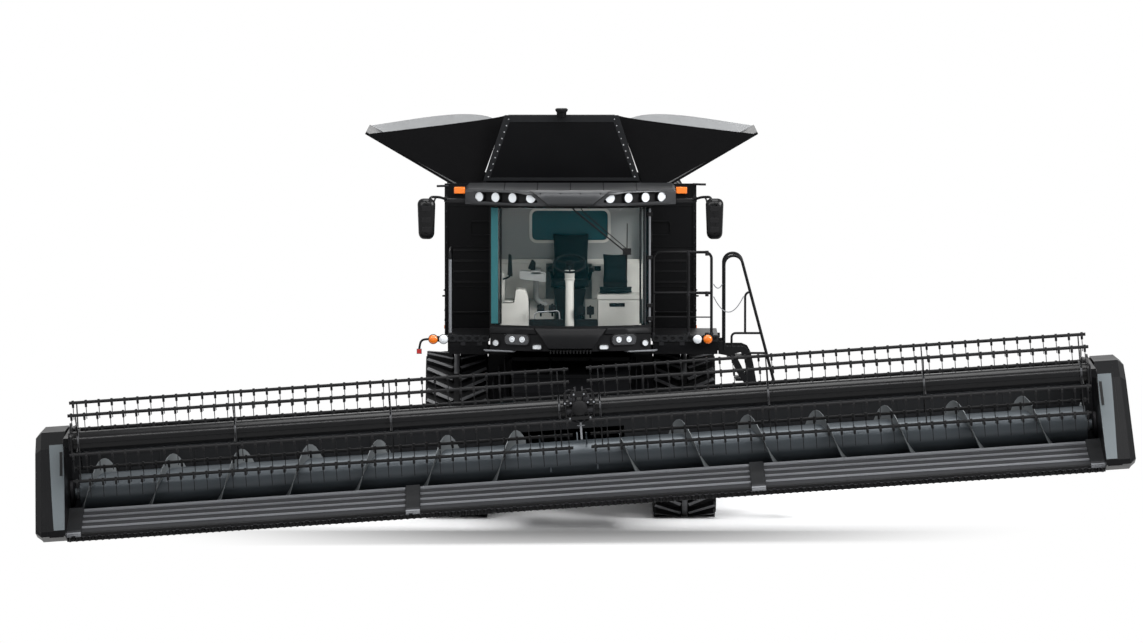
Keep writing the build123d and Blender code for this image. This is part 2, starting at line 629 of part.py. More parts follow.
with BuildPart() as cab_base:
    bowed(0, (2125, CAB_FLOOR))
    slab((-CAB_HALF + 140, CAB_HALF - 140), (-1100, CAB_REAR + 1), (2000, 2200), Mode.SUBTRACT)
NOSE_Z = (2085, GLASS_Z[0] - 4)
NOSE_GROW = 70
LENS_DEPTH = 30


def nose_lens(x, z, half_w, half_h, grow, play):
    """A lens set in the bowed nose, reaching grow past the pillar line; its pocket is the same with play."""
    with BuildPart() as lens:
        bowed(grow, (z - half_h - play, z + half_h + play))
        bowed(NOSE_GROW - LENS_DEPTH - play, (z - half_h - 2, z + half_h + 2), Mode.SUBTRACT)
        with Locations((x, PILLAR_Y - GLASS_BOW, z)):
            if half_w == half_h:
                with Locations(Location((0, 0, 0), (90, 0, 0))):
                    Cylinder(half_w + play, 1200, mode=Mode.INTERSECT)
            else:
                Box(2 * (half_w + play), 1200, 2 * (half_h + play), mode=Mode.INTERSECT)
    return lens.part


# x, z, half width, half height
NOSE_LENSES = [(648, 2220, 142, 58), (905, 2172, 36, 36), (405, 2136, 52, 26)]
with BuildPart() as nose:
    bowed(NOSE_GROW, NOSE_Z)
    bowed(-10, (NOSE_Z[0] - 1, CAB_FLOOR), Mode.SUBTRACT)
    bowed(-2, (CAB_FLOOR - 1, NOSE_Z[1] + 1), Mode.SUBTRACT)
    slab((-1200, 1200), (PILLAR_Y + 60, 0), (2000, 2400), Mode.SUBTRACT)
nose_lenses = []
nose_part = nose.part
for x, z, half_w, half_h in NOSE_LENSES:
    for side in (-1, 1):
        nose_part = nose_part - nose_lens(side * x, z, half_w, half_h, 2 * NOSE_GROW, SEAT)
        nose_lenses.append(nose_lens(side * x, z, half_w, half_h, NOSE_GROW + 6, 0).solid())
keep("cab_base", cab_base.part + nose_part)

with BuildPart() as cab_frame:
    bowed(-2 - SEAT, (CAB_FLOOR + SEAT, CAB_TOP))
    bowed(-12 - PILLAR, (CAB_FLOOR, CAB_TOP + 1), Mode.SUBTRACT, CAB_REAR - PILLAR, CAB_HALF - PILLAR)
    slab((-CAB_HALF + PILLAR, CAB_HALF - PILLAR), (-2500, -1200), (CAB_FLOOR + 40, CAB_TOP - 40), Mode.SUBTRACT)
    for side in (-1, 1):
        slab(sorted((side * 800, side * 1100)), (DOOR_Y[0], DOOR_Y[1]), (CAB_FLOOR + 40, CAB_TOP - 60),
             Mode.SUBTRACT)
    slab((-480, 480), (-400, 0), (2900, 3560), Mode.SUBTRACT)
    for z in DOOR_HINGES:
        with Locations((DOOR_AXIS[0], DOOR_AXIS[1], z - 60 - SEAT)):
            Cylinder(12, 60)
        slab((CAB_HALF - 10, DOOR_AXIS[0]), (DOOR_AXIS[1], DOOR_AXIS[1] + 60), (z - 90 - SEAT, z - 30 - SEAT))

with BuildPart() as screen_glass:
    bowed(6, GLASS_Z)
    bowed(-2, (GLASS_Z[0] - 1, GLASS_Z[1] + 1), Mode.SUBTRACT)
    slab((-1200, 1200), (PILLAR_Y + 4, 0), (GLASS_Z[0] - 1, GLASS_Z[1] + 1), Mode.SUBTRACT)
keep("windshield", screen_glass)
with BuildPart() as rear_glass:
    slab((-480 + SEAT, 480 - SEAT), (CAB_REAR - 40, CAB_REAR - 34), (2900 + SEAT, 3560 - SEAT))


def side_glazing(side, name_frame, name_glass):
    """A framed side door or window, and its glass."""
    xs = sorted((side * (CAB_HALF - DOOR_T), side * CAB_HALF))
    gap = RUN if side > 0 else SEAT
    with BuildPart() as frame:
        slab(xs, (DOOR_Y[0] + gap, DOOR_Y[1] - gap), (CAB_FLOOR + 40 + gap, CAB_TOP - 60 - gap))
        if side > 0:
            for z in DOOR_HINGES:
                with Locations((DOOR_AXIS[0], DOOR_AXIS[1], z)):
                    Cylinder(12, 60)
                slab((CAB_HALF - 10, DOOR_AXIS[0]), (DOOR_AXIS[1] - 60, DOOR_AXIS[1]), (z - 30, z + 30))
        slab((xs[0] - 1, xs[1] + 1), (DOOR_Y[0] + 60, DOOR_Y[1] - 60), (CAB_FLOOR + 110, CAB_TOP - 130),
             Mode.SUBTRACT)
    keep(name_frame, frame)
    middle = (xs[0] + xs[1]) / 2
    with BuildPart() as glass:
        slab((middle - 3, middle + 3), (DOOR_Y[0] + 60 + SEAT, DOOR_Y[1] - 60 - SEAT),
             (CAB_FLOOR + 110 + SEAT, CAB_TOP - 130 - SEAT))
    keep(name_glass, glass)


side_glazing(1, "cab_door", "cab_door_glass")
side_glazing(-1, "side_window", "side_glass")
keep("cab_glass", Compound(children=[*rear_glass.part.solids(), *parts.pop("side_glass").solids()]))
keep("cab_frame", Compound(children=[*cab_frame.part.solids(), *parts.pop("side_window").solids()]))

LAMP_BAND = (3870, 4006)
POCKET = ((400, -1895), (620, -1840), (1160, -1515))
ROOF_CHAMFER = 35
ROOF_LAMPS = (467, 676, 881, 1078)
with BuildPart() as cab_roof:
    plan_prism([(-ROOF_HALF, -1500), (-620, ROOF_FRONT + 60), (-360, ROOF_FRONT), (360, ROOF_FRONT),
                (620, ROOF_FRONT + 60), (ROOF_HALF, -1500), (ROOF_HALF, -60), (-ROOF_HALF, -60)],
               (ROOF_Z[0], ROOF_Z[1]))
    chamfer(cab_roof.faces().sort_by(Axis.Z)[-1].edges(), ROOF_CHAMFER)
    for side in (-1, 1):
        plan_prism([(side * x, y) for x, y in
                    ((400, -2100), (1160, -2100), (1160, POCKET[2][1]), POCKET[1], POCKET[0])],
                   LAMP_BAND, Mode.SUBTRACT)
keep("cab_roof", cab_roof)
roof_lamps = []
for side in (-1, 1):
    for x in ROOF_LAMPS:
        near, far = POCKET[:2] if x < POCKET[1][0] else POCKET[1:]
        share = (x - near[0]) / (far[0] - near[0])
        outward = Vector(side * (far[1] - near[1]), near[0] - far[0], 0)
        seat = Vector(side * x, near[1] + share * (far[1] - near[1]), sum(LAMP_BAND) / 2)
        face = Plane(origin=seat + outward.normalized() * SEAT, z_dir=outward)
        with BuildPart(face) as roof_lamp:
            Cylinder(58, 40, align=(Align.CENTER, Align.CENTER, Align.MIN))
        roof_lamps.append(roof_lamp.part.solid())

with BuildPart() as cab_mount:
    for side in (-1, 1):
        slab((side * 600 - 80, side * 600 + 80), (-1000, WALL_Y - 1), (2120 + SEAT, 2200 - SEAT))
    slab((-780, 780), (-90, WALL_Y - SEAT), (2120 + SEAT, 2700))
keep("chassis_rails", Compound(children=[
    *chassis.part.solids(), *hitch.part.solids(), *cab_mount.part.solids()]))

with BuildPart() as driver_seat:
    slab((-215, 235), (-760, -300), (2800, 2900))
    slab((-180, 210), (-350, -230), (2880, 3440))
    slab((-80, 110), (-620, -420), (CAB_FLOOR + SEAT, 2801))
with BuildPart() as trainer_seat:
    slab((330, 840), (-900, -420), (CAB_FLOOR + SEAT, 2770))
    slab((390, 690), (-540, -440), (2769, 3200))
keep("cab_seats", Compound(children=[*driver_seat.part.solids(), *trainer_seat.part.solids()]))
with BuildPart() as column:
    slab((-70, 50), (-1180, -1080), (CAB_FLOOR + SEAT, 3080))
    with Locations(Location((-10, -1100, 3100), (30, 0, 0))):
        Torus(190, 16)
        Cylinder(55, 60)
        Box(360, 40, 20)
with BuildPart() as consoles:
    slab((-820, -500), (-1100, -400), (CAB_FLOOR + SEAT, 2780))
    slab((-480, -330), (-800, -350), (2900, 3000))
    slab((-450, -380), (-560, -450), (CAB_FLOOR + SEAT, 2901))
keep("cab_controls", Compound(children=[*column.part.solids(), *consoles.part.solids()]))

# ---------------------------------------------------------------- platforms, rails, ladder, mirrors
PLATFORM_EDGE = 1790
LADDER_Y = (-1180, -620)
LADDER_AXIS = (PLATFORM_EDGE + 10, -590)
LADDER_PIN_R = 14
with BuildPart() as platform_left:
    slab((CAB_HALF + 10, PLATFORM_EDGE), (-1280, 200), PLATFORM_Z)
    slab((790, PLATFORM_EDGE), (-60, 60), (HULL_TOP + SEAT, PLATFORM_Z[0] + 1))
    with Locations((*LADDER_AXIS, sum(PLATFORM_Z) / 2)):
        Cylinder(LADDER_PIN_R + 6, PLATFORM_Z[1] - PLATFORM_Z[0])
        Cylinder(LADDER_PIN_R + SEAT, 200, mode=Mode.SUBTRACT)
with BuildPart() as platform_right:
    slab((-1480, -CAB_HALF - 10), (-1280, 200), PLATFORM_Z)
    slab((-1480, -790), (-60, 60), (2120 + SEAT, 2171))
keep("platforms", Compound(children=[*platform_left.part.solids(), *platform_right.part.solids()]))
with BuildPart() as rails:
    deck_z = PLATFORM_Z[1]
    tube([Vector(x, RAIL_Y, z) for x, z in ((RAIL_X[0], deck_z), (RAIL_X[0], RAIL_TOP), (RAIL_X[1], RAIL_TOP),
                                            (RAIL_X[1], deck_z))], RAIL_R, 80)
    for x in (1425, 1650):
        tube([Vector(x, RAIL_Y, deck_z), Vector(x, RAIL_Y, RAIL_TOP)], RAIL_R, 0)
    for z, radius in ((2754, RAIL_R), (2460, 8)):
        tube([Vector(RAIL_X[0], RAIL_Y, z), Vector(RAIL_X[1], RAIL_Y, z)], radius, 0)
with BuildPart() as rail_right:
    tube([Vector(-1455, y, z) for y, z in ((RAIL_Y, deck_z), (RAIL_Y, RAIL_TOP), (-300, RAIL_TOP),
                                           (-300, deck_z))], RAIL_R, 80)
keep("guard_rails", Compound(children=[*rails.part.solids(), *rail_right.part.solids()]))

with BuildPart() as ladder:
    for y in LADDER_Y:
        tube([Vector(1860, y, 2060), Vector(1860, y, 3200), Vector(2060, y, 3200), Vector(2500, y, 1540),
              Vector(2790, y, 450)], RAIL_R, 110)
    for y in LADDER_Y[:1]:
        tube([Vector(1950, y, 2090), Vector(1950, y, 2262), Vector(2309, y, 2262)], RAIL_R - 3, 50)
        tube([Vector(2114, y, 2262), Vector(2114, y, 2760), Vector(2178, y, 2760)], RAIL_R - 3, 60)
        tube([Vector(2160, y, 2020), Vector(2373, y, 2020)], RAIL_R - 3, 0)
    for y in LADDER_Y:
        front_prism([(PLATFORM_EDGE + SEAT, 2165), (1840, 2165), (1870, 2105), (2080, 2105), (2150, 2075),
                     (2190, 2000), (2218, 1870), (2275, 1540), (2570, 560), (2460, 560), (2176, 1540),
                     (2100, 1660), (2010, 1790), (1925, 1985), (PLATFORM_EDGE + SEAT, 2010)], (y - 8, y + 8))
        front_prism([(1985, 2010), (2060, 2030), (2105, 1960), (2140, 1770), (2120, 1745)],
                    (y - 9, y + 9), Mode.SUBTRACT)
        slab((2440, 2770), (y - 8, y + 8), (560, 600))
    for step in range(6):
        z = 620 + step * 265
        x = 2500 - (z - 620) * 0.378
        slab((x - 100, x + 120), LADDER_Y, (z, z + 30))
    with Locations((*LADDER_AXIS, 2172)):
        Cylinder(LADDER_PIN_R, 104)
    slab((LADDER_AXIS[0] - 4, LADDER_AXIS[0] + 60), (LADDER_Y[1], LADDER_AXIS[1]), (2130, 2165))
keep("ladder", ladder)

MIRROR_X = (1627, 1843)
MIRROR_Z = (3430, 3920)
MIRROR_ARM_Z = ROOF_Z[0] + 41
with BuildPart() as mirror_head:
    slab(MIRROR_X, (-1690, -1640), MIRROR_Z)
    fillet(mirror_head.edges().filter_by(Axis.Y), 40)
with BuildPart() as mirrors:
    add(mirror_head.part)
    tube([Vector(1500, -1461, MIRROR_ARM_Z), Vector(1560, -1600, MIRROR_ARM_Z + 10),
          Vector(1735, -1665, MIRROR_ARM_Z + 10)], 16, 70)
    slab((ROOF_HALF + SEAT, 1510), (-1480, -1440), (MIRROR_ARM_Z - 30, MIRROR_ARM_Z + 30))
keep("mirrors", mirrored(mirrors))

with BuildPart() as lamps:
    for side in (-1, 1):
        slab((side * 1450, side * 1700), (WALL_Y - 12, WALL_Y - SEAT), (2135, 2185))
        for x in (1520, 1645):
            with Locations(Location((side * x, WALL_Y - 32, 2160), (90, 0, 0))):
                Cylinder(58, 60)
    for side in (-1, 1):
        slab((side * 1305, side * 1375), (WALL_Y - 40, WALL_Y - SEAT), (3835, 3900))
keep("signal_lamps", Compound(children=list(lamps.part.solids())))
keep("work_lamps", Compound(children=[*nose_lenses, *roof_lamps]))

# ---------------------------------------------------------------- feeder house
py, pz = FEEDER_PIVOT
TOP = [(-495, 2000), (-760, 2000), (FEEDER_FRONT, FEEDER_MOUTH[1])]
BOTTOM = [(FEEDER_FRONT, FEEDER_MOUTH[0]), (-700, 1420), (-470, 1560)]
with BuildPart() as feeder:
    side_prism(TOP + BOTTOM, (-FEEDER_HALF, FEEDER_HALF))
    side_prism([(-460, 1988), (-755, 1988), (FEEDER_FRONT - 10, FEEDER_MOUTH[1] - 12),
                (FEEDER_FRONT - 10, FEEDER_MOUTH[0] + 12), (-705, 1434), (-460, 1575)],
               (-FEEDER_HALF + FEEDER_WALL, FEEDER_HALF - FEEDER_WALL), Mode.SUBTRACT)
    for y in (-1000, -1500, -2000):
        z = 2000 - (-760 - y) * (2000 - FEEDER_MOUTH[1]) / (-760 - FEEDER_FRONT)
        slab((-FEEDER_HALF, FEEDER_HALF), (y - 25, y + 25), (z - 5, z + 40))
    for side in (-1, 1):
        disc(side * (FEEDER_HALF + 10), FEEDER_PIVOT[0], FEEDER_PIVOT[1], 60, 56)
        for x in (side * 400 - 62, side * 400 + 62):
            side_prism([(-1900, 900), (-2200, 780), (-2110, 650), (-1990, 650)], (x - 8, x + 8))
        disc(side * 400, -2050, 700, 22, 140)
    side_prism([(FEEDER_FRONT + 5, 664), (-705, 1434), (-705, 1800), (FEEDER_FRONT + 5, 1300)],
               (-FEEDER_HALF + FEEDER_WALL, FEEDER_HALF - FEEDER_WALL), Mode.SUBTRACT)
keep("feeder_house", feeder)
with BuildPart() as feeder_drum:
    disc(0, -2230, 1000, 170, 2 * FEEDER_HALF - 2 * FEEDER_WALL - 2 * SEAT)
keep("feeder_drum", feeder_drum)
with BuildPart() as tilt_frame:
    slab((-FEEDER_HALF - 90, FEEDER_HALF + 90), (FEEDER_FRONT - 60, FEEDER_FRONT - SEAT), (590, ROLL_Z + 90))
    slab((-FEEDER_HALF + 20, FEEDER_HALF - 20), (FEEDER_FRONT - 61, FEEDER_FRONT), (680, 1360), Mode.SUBTRACT)
    with Locations(Location((0, FEEDER_FRONT - 140, ROLL_Z), (90, 0, 0))):
        Cylinder(45, 170)
keep("tilt_frame", tilt_frame)

# ---------------------------------------------------------------- header
HEADER_AT = Location((0, 0, ROLL_Z), (0, -TILT, 0)) * Location((HEADER_SHIFT, AUGER_Y, AUGER_Z - ROLL_Z))
BACK = WALL_BACK
FLOOR_Z = -TROUGH_R - SHEET
PIVOT_Z = ROLL_Z - AUGER_Z
with BuildPart() as header_frame:
    slab((-HEADER_HALF, HEADER_HALF), (BACK, BACK + SHEET), (FLOOR_Z, BEAM_TOP))
    for zs in ((BEAM_TOP - BEAM, BEAM_TOP), (FLOOR_Z, FLOOR_Z + BEAM)):
        slab((-HEADER_HALF, HEADER_HALF), (BACK + SHEET - 1, BACK + BEAM), zs)
    for share in (0.148, 0.295, 0.557, 0.82):
        for x in (-share * HEADER_HALF, share * HEADER_HALF):
            slab((x - 50, x + 50), (BACK + SHEET - 1, BACK + 90), (-300, BEAM_TOP - BEAM + 1))
    slab((FEED_X - FEED_HALF, FEED_X + FEED_HALF), (BACK - 1, BACK + BEAM + 1), FEED_Z, Mode.SUBTRACT)
    slab((FEED_X - 160, FEED_X + 160), (BACK + BEAM - 20, BACK + BEAM + 12), (PIVOT_Z - 110, PIVOT_Z + 110))
    with Locations(Location((FEED_X, BACK + BEAM, PIVOT_Z), (90, 0, 0))):
        Cylinder(45 + SEAT, 160, mode=Mode.SUBTRACT)
    for side in (-1, 1):
        for x in (ARM_X - ARM_T / 2 - RUN - 13, ARM_X + ARM_T / 2 + RUN):
            side_prism([(ARM_PIVOT[0] + 60, BEAM_TOP - 60), (ARM_PIVOT[0] + 60, ARM_PIVOT[1] + 45),
                        (ARM_PIVOT[0] - 60, ARM_PIVOT[1] + 45), (ARM_PIVOT[0] - 60, BEAM_TOP - 60)],
                       (side * x, side * (x + 13)))
    disc(0, ARM_PIVOT[0], ARM_PIVOT[1], 30 + SEAT, 2 * HEADER_HALF, Mode.SUBTRACT)

with BuildPart() as trough:
    with BuildSketch(Plane.YZ.offset(-HEADER_HALF + SEAT)):
        with BuildLine():
            l1 = ThreePointArc((-TROUGH_R * cos(radians(22)), -TROUGH_R * sin(radians(22))), (0, -TROUGH_R),
                               (TROUGH_R * cos(radians(40)), -TROUGH_R * sin(radians(40))))
            l2 = Line(l1 @ 1, (BACK - SEAT, -260))
            l3 = Line(l2 @ 1, (BACK - SEAT, -300))
            outer = TROUGH_R + SHEET
            l4 = ThreePointArc((-outer * cos(radians(22)), -outer * sin(radians(22))), (0, -outer),
                               (outer * cos(radians(44)), -outer * sin(radians(44))))
            Line(l3 @ 1, l4 @ 1)
            Line(l4 @ 0, l1 @ 0)
        make_face()
    extrude(amount=2 * HEADER_HALF - 2 * SEAT)
keep("header_frame", HEADER_AT * Compound(children=[*header_frame.part.solids(), *trough.part.solids()]))

LIP_Y = FLOOR_Z * cos(radians(22)) - 2
DECK = [DECK_FRONT, DECK_REAR, (LIP_Y, DECK_REAR[1]), (LIP_Y, DECK_REAR[1] - 20),
        (DECK_REAR[0], DECK_REAR[1] - 40), (DECK_REAR[0], DECK_REAR[1] - 90),
        (DECK_REAR[0] - 60, DECK_REAR[1] - 110), (DECK_FRONT[0] + 150, DECK_FRONT[1] - DECK_LIP),
        (DECK_FRONT[0], DECK_FRONT[1] - DECK_LIP)]
with BuildPart() as deck:
    side_prism(DECK, (-HEADER_HALF + SEAT, HEADER_HALF - SEAT))
    for x in (-HEADER_HALF + 82, -HEADER_HALF / 3, HEADER_HALF / 3, HEADER_HALF - 82):
        side_prism([(DECK_FRONT[0] + 5, DECK_FRONT[1] - 10), (DECK_FRONT[0] + 60, DECK_FRONT[1] + 40),
                    (DECK_REAR[0], DECK_REAR[1] + 30), (DECK_REAR[0], DECK_REAR[1] - 10)],
                   (x - DIVIDER_W / 2, x + DIVIDER_W / 2))
    side_prism([(DECK_REAR[0] - 59, DECK_REAR[1] - 60), (DECK_REAR[0] - 59, FLOOR_Z), (DECK_REAR[0] - 20, FLOOR_Z),
                (DECK_REAR[0], DECK_REAR[1] - 60)], (-HEADER_HALF + SEAT, HEADER_HALF - SEAT))
keep("header_deck", HEADER_AT * deck.part)

with BuildPart() as cutterbar:
    front_y, front_z = DECK_FRONT
    teeth = round(2 * (HEADER_HALF - 20) / GUARD_PITCH)
    start = -teeth * GUARD_PITCH / 2
    outline = [(start, front_y - SEAT), (start, front_y - 40)]
    for tooth in range(teeth):
        x = start + (tooth + 0.5) * GUARD_PITCH
        outline += [(x - 24, front_y - 40), (x, front_y - GUARD_LENGTH), (x + 24, front_y - 40)]
    outline += [(-start, front_y - 40), (-start, front_y - SEAT)]
    plan_prism(outline, (front_z - DECK_LIP + 3, front_z - 32))
keep("cutterbar", HEADER_AT * cutterbar.part)

# ---------------------------------------------------------------- header ends
END_X = HEADER_HALF
END_INNER = 205
END_TOP = 775
END_OUTLINE = [(BACK + 60, END_TOP), (BACK + 60, FLOOR_Z), (DECK_FRONT[0] + 80, FLOOR_Z),
               (DECK_FRONT[0] - 270, FLOOR_Z + 90), (DECK_FRONT[0] - 270, FLOOR_Z + 150),
               (DECK_FRONT[0] + 80, 40), (-640, 600), (-300, END_TOP)]


def end_outline(x):
    """The outline of the header's end, at x."""
    with BuildSketch(Plane.YZ.offset(x)) as outline:
        with BuildLine():
            Polyline(*END_OUTLINE, close=True)
        make_face()
    return outline.sketch


with BuildPart() as end_panel:
    extrude(end_outline(END_X + SEAT), amount=END_INNER)
    side_prism([(-1164, 146), (-754, 523), (-706, 471), (-1116, 95)], (END_X + 70, END_X + 135), Mode.SUBTRACT)
    disc(END_X, 0, 0, 70 + SEAT, 2 * END_INNER + 20, Mode.SUBTRACT)
keep("end_panels", HEADER_AT * mirrored(end_panel))
END_BULGE = 70
with BuildPart() as end_cover_part:
    extrude(end_outline(END_X + END_INNER + 2 * SEAT), amount=END_W - END_INNER - END_BULGE)
    extrude(end_outline(END_X + END_W - END_BULGE), amount=END_BULGE, taper=42)
keep("end_covers", HEADER_AT * mirrored(end_cover_part))

# ---------------------------------------------------------------- header auger
FLIGHT_END = HEADER_HALF - 150
FINGERS_HALF = 560
FLIGHT_STEPS = 18
flight_foot = (AUGER_TUBE_R + SEAT) / cos(pi / FLIGHT_STEPS)
flights = [flighting(FEED_X + side * FINGERS_HALF, side * FLIGHT_END, FEED_X + side * (FINGERS_HALF + 23),
                     AUGER_PITCH, flight_foot, AUGER_R, FLIGHT_T, FLIGHT_STEPS) for side in (-1, 1)]
with BuildPart() as auger:
    disc(0, 0, 0, AUGER_TUBE_R, 2 * FLIGHT_END + 60)
    disc(0, 0, 0, 70, 2 * (END_X + 20))
    for index in range(10):
        x = FEED_X - FINGERS_HALF + 60 + index * (2 * FINGERS_HALF - 120) / 9
        with Locations(Location((x, 0, 0), (index * 72 - 40, 0, 0)) * Location((0, 0, 300))):
            Cylinder(9, 190)
keep("header_auger", HEADER_AT * auger.part)
keep("auger_flights", HEADER_AT * Compound(children=[spiral.solid() for spiral in flights]))

# ---------------------------------------------------------------- reel
with BuildPart() as reel_tube:
    disc(0, REEL_Y, REEL_Z, REEL_TUBE_R, 2 * REEL_END)
    disc(0, REEL_Y, REEL_Z, 40, 2 * (ARM_X + ARM_T / 2 + 12))
    for side in (-1, 1):
        disc(side * (REEL_END - 12), REEL_Y, REEL_Z, 230, 24)
        for x in SPIDERS:
            for bat in range(REEL_BATS):
                turn = REEL_PHASE + bat * 360 / REEL_BATS
                with Locations(Location((side * x, REEL_Y, REEL_Z), (90 - turn, 0, 0))
                               * Location((0, 0, (REEL_R - BAT_R - SEAT + REEL_TUBE_R - 10) / 2))):
                    Box(SPIDER_T, 60, REEL_R - BAT_R - SEAT - REEL_TUBE_R + 10)
keep("reel_tube", HEADER_AT * reel_tube.part)

tines = int((REEL_END - REEL_GAP - 60) / TINE_PITCH)
with BuildPart() as bat_bar:
    disc((REEL_GAP + REEL_END) / 2, 0, 0, BAT_R, REEL_END - REEL_GAP)
    with Locations(*[(REEL_GAP + 50 + tine * TINE_PITCH, 8, -TINE_LENGTH / 2) for tine in range(tines + 1)]):
        Box(9, 9, TINE_LENGTH)
bat_solids = []
for bat in range(REEL_BATS):
    turn = radians(REEL_PHASE + bat * 360 / REEL_BATS)
    at = Location((0, REEL_Y - REEL_R * cos(turn), REEL_Z + REEL_R * sin(turn)))
    bat_solids += [at * solid for solid in mirrored(bat_bar).solids()]
keep("reel_bats", HEADER_AT * Compound(children=bat_solids))

ARM_FRONT = REEL_Y - 70
with BuildPart() as arms:
    for x, width in ((-ARM_X, ARM_T), (0, 60), (ARM_X, ARM_T)):
        side_prism([(ARM_PIVOT[0] + 60, ARM_PIVOT[1] + 50), (ARM_PIVOT[0] + 60, ARM_PIVOT[1] - 40),
                    (ARM_FRONT, REEL_Z - 45), (ARM_FRONT, REEL_Z + 55)], (x - width / 2, x + width / 2))
    disc(0, REEL_Y, REEL_Z, REEL_TUBE_R + RUN + 30, 60)
    disc(0, REEL_Y, REEL_Z, REEL_TUBE_R + RUN, 200, Mode.SUBTRACT)
    disc(0, REEL_Y, REEL_Z, 40 + SEAT, 2 * ARM_X + 200, Mode.SUBTRACT)
    disc(0, ARM_PIVOT[0], ARM_PIVOT[1], 30, 2 * (ARM_X + ARM_T / 2 + 20))
keep("reel_arms", HEADER_AT * arms.part)

# ---------------------------------------------------------------- lift cylinders
# node, x, base y, base z, eye y, eye z
LIFT_EYE_R = 38
LIFTS = [
    ("lift_cylinder_left", 400, -400, 1000, -2050, 700),
    ("lift_cylinder_right", -400, -400, 1000, -2050, 700),
]
for name, x, base_y, base_z, eye_y, eye_z in LIFTS:
    length = hypot(eye_y - base_y, eye_z - base_z)
    angle = degrees(atan2(eye_z - base_z, -(eye_y - base_y)))
    frame = Location((x, base_y, base_z), (0, 0, 0)) * Location((0, 0, 0), (-angle, 0, 0))
    with BuildPart() as barrel:
        with Locations(Location((0, -length * 0.345, 0), (90, 0, 0))):
            Cylinder(65, length * 0.51)
        with Locations(Location((0, -length * 0.06, 0), (90, 0, 0))):
            Cylinder(34, length * 0.12)
        with Locations(across(0, 0, 0)):
            Cylinder(60, 70)
        with Locations(Location((0, -length * 0.38, 0), (90, 0, 0))):
            Cylinder(40 + SEAT, length * 0.5, mode=Mode.SUBTRACT)
        with Locations(across(0, 0, 0)):
            Cylinder(30 + SEAT, 80, mode=Mode.SUBTRACT)
    keep(name, frame * barrel.part)
    with BuildPart() as rod:
        with Locations(Location((0, -length * 0.58, 0), (90, 0, 0))):
            Cylinder(40, length * 0.76)
        with Locations(across(0, -length, 0)):
            Cylinder(72, 66)
            Cylinder(LIFT_EYE_R, 80, mode=Mode.SUBTRACT)
    keep(name.replace("cylinder", "rod"), frame * rod.part)

with BuildPart() as lift_brackets:
    for side in (-1, 1):
        for x in (side * 400 - 52, side * 400 + 52):
            side_prism([(-420.3, 1179.7), (-160.3, 899.7), (-380, 930), (-470, 960), (-470, 1050)],
                       (x - 12, x + 12))
        disc(side * 400, -400, 1000, 30, 128)
keep("threshing_hull", Compound(children=[*hull.part.solids(), *lift_brackets.part.solids()]))

# ---------------------------------------------------------------- origin and export
boxes = [shape.bounding_box() for shape in parts.values()]
low = [min(getattr(box.min, axis) for box in boxes) for axis in "XYZ"]
high = [max(getattr(box.max, axis) for box in boxes) for axis in "XYZ"]
SHIFT = Vector(-(low[0] + high[0]) / 2, -(low[1] + high[1]) / 2, -low[2])
os.makedirs("parts", exist_ok=True)
for name, shape in parts.items():
    moved = Location(SHIFT) * shape
    moved.label = name
    export_step(moved, f"parts/{name}.step")
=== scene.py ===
"""Looks of the combine harvester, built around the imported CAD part.

Lengths are in metres, in the part's own frame.
"""

import json
import math

import bmesh
import bpy
from mathutils import Matrix, Vector
from mathutils.bvhtree import BVHTree


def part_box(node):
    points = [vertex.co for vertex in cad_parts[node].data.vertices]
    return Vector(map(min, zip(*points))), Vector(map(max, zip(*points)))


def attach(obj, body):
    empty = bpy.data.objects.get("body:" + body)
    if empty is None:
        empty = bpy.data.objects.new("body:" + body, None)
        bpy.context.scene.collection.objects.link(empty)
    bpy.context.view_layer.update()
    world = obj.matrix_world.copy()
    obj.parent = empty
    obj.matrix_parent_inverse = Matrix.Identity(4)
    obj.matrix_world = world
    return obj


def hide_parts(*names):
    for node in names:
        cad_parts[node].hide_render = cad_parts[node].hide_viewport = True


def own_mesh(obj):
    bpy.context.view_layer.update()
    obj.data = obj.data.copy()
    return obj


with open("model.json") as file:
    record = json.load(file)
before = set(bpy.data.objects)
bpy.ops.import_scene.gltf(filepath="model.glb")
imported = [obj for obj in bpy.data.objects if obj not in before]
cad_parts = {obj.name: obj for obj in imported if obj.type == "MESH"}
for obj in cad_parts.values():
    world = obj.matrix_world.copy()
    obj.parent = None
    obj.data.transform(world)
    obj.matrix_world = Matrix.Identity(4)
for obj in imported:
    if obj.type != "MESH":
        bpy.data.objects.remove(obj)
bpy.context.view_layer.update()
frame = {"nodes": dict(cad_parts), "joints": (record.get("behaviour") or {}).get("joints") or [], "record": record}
NODES = frame["nodes"]
JOINTS = {joint["name"]: joint for joint in frame["joints"]}

# Machine coordinates count from the middle of the front axle, header ones from the auger's axis.
roof_low, roof_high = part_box("cab_roof")
X0 = (roof_low[0] + roof_high[0]) / 2
Y0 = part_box("grain_tank")[0][1] - 0.3
HEADER_AT = Vector(JOINTS["header_auger_spin"]["pos_m"])
HEADER_X = Vector(JOINTS["header_auger_spin"]["axis"])
HEADER_Y = Vector((0, 1, 0))
HEADER_Z = HEADER_X.cross(HEADER_Y)
HEADER_HALF = 6.1


def M(x, y, z):
    """A point of the machine, in the row frame."""
    return Vector((X0 + x, Y0 + y, z))


def H(x, y, z):
    """A point of the header, in the row frame."""
    return HEADER_AT + HEADER_X * x + HEADER_Y * y + HEADER_Z * z


# ---------------------------------------------------------------- materials
GRAIN_DEPTH = 0.002
WEAVE_DEPTH = 0.003


def feed(tree, node, inputs):
    """Fills a node's sockets: an output is linked to its socket, anything else is its plain value."""
    for socket, value in inputs.items():
        if isinstance(value, bpy.types.NodeSocket):
            tree.links.new(value, node.inputs[socket])
        else:
            node.inputs[socket].default_value = value


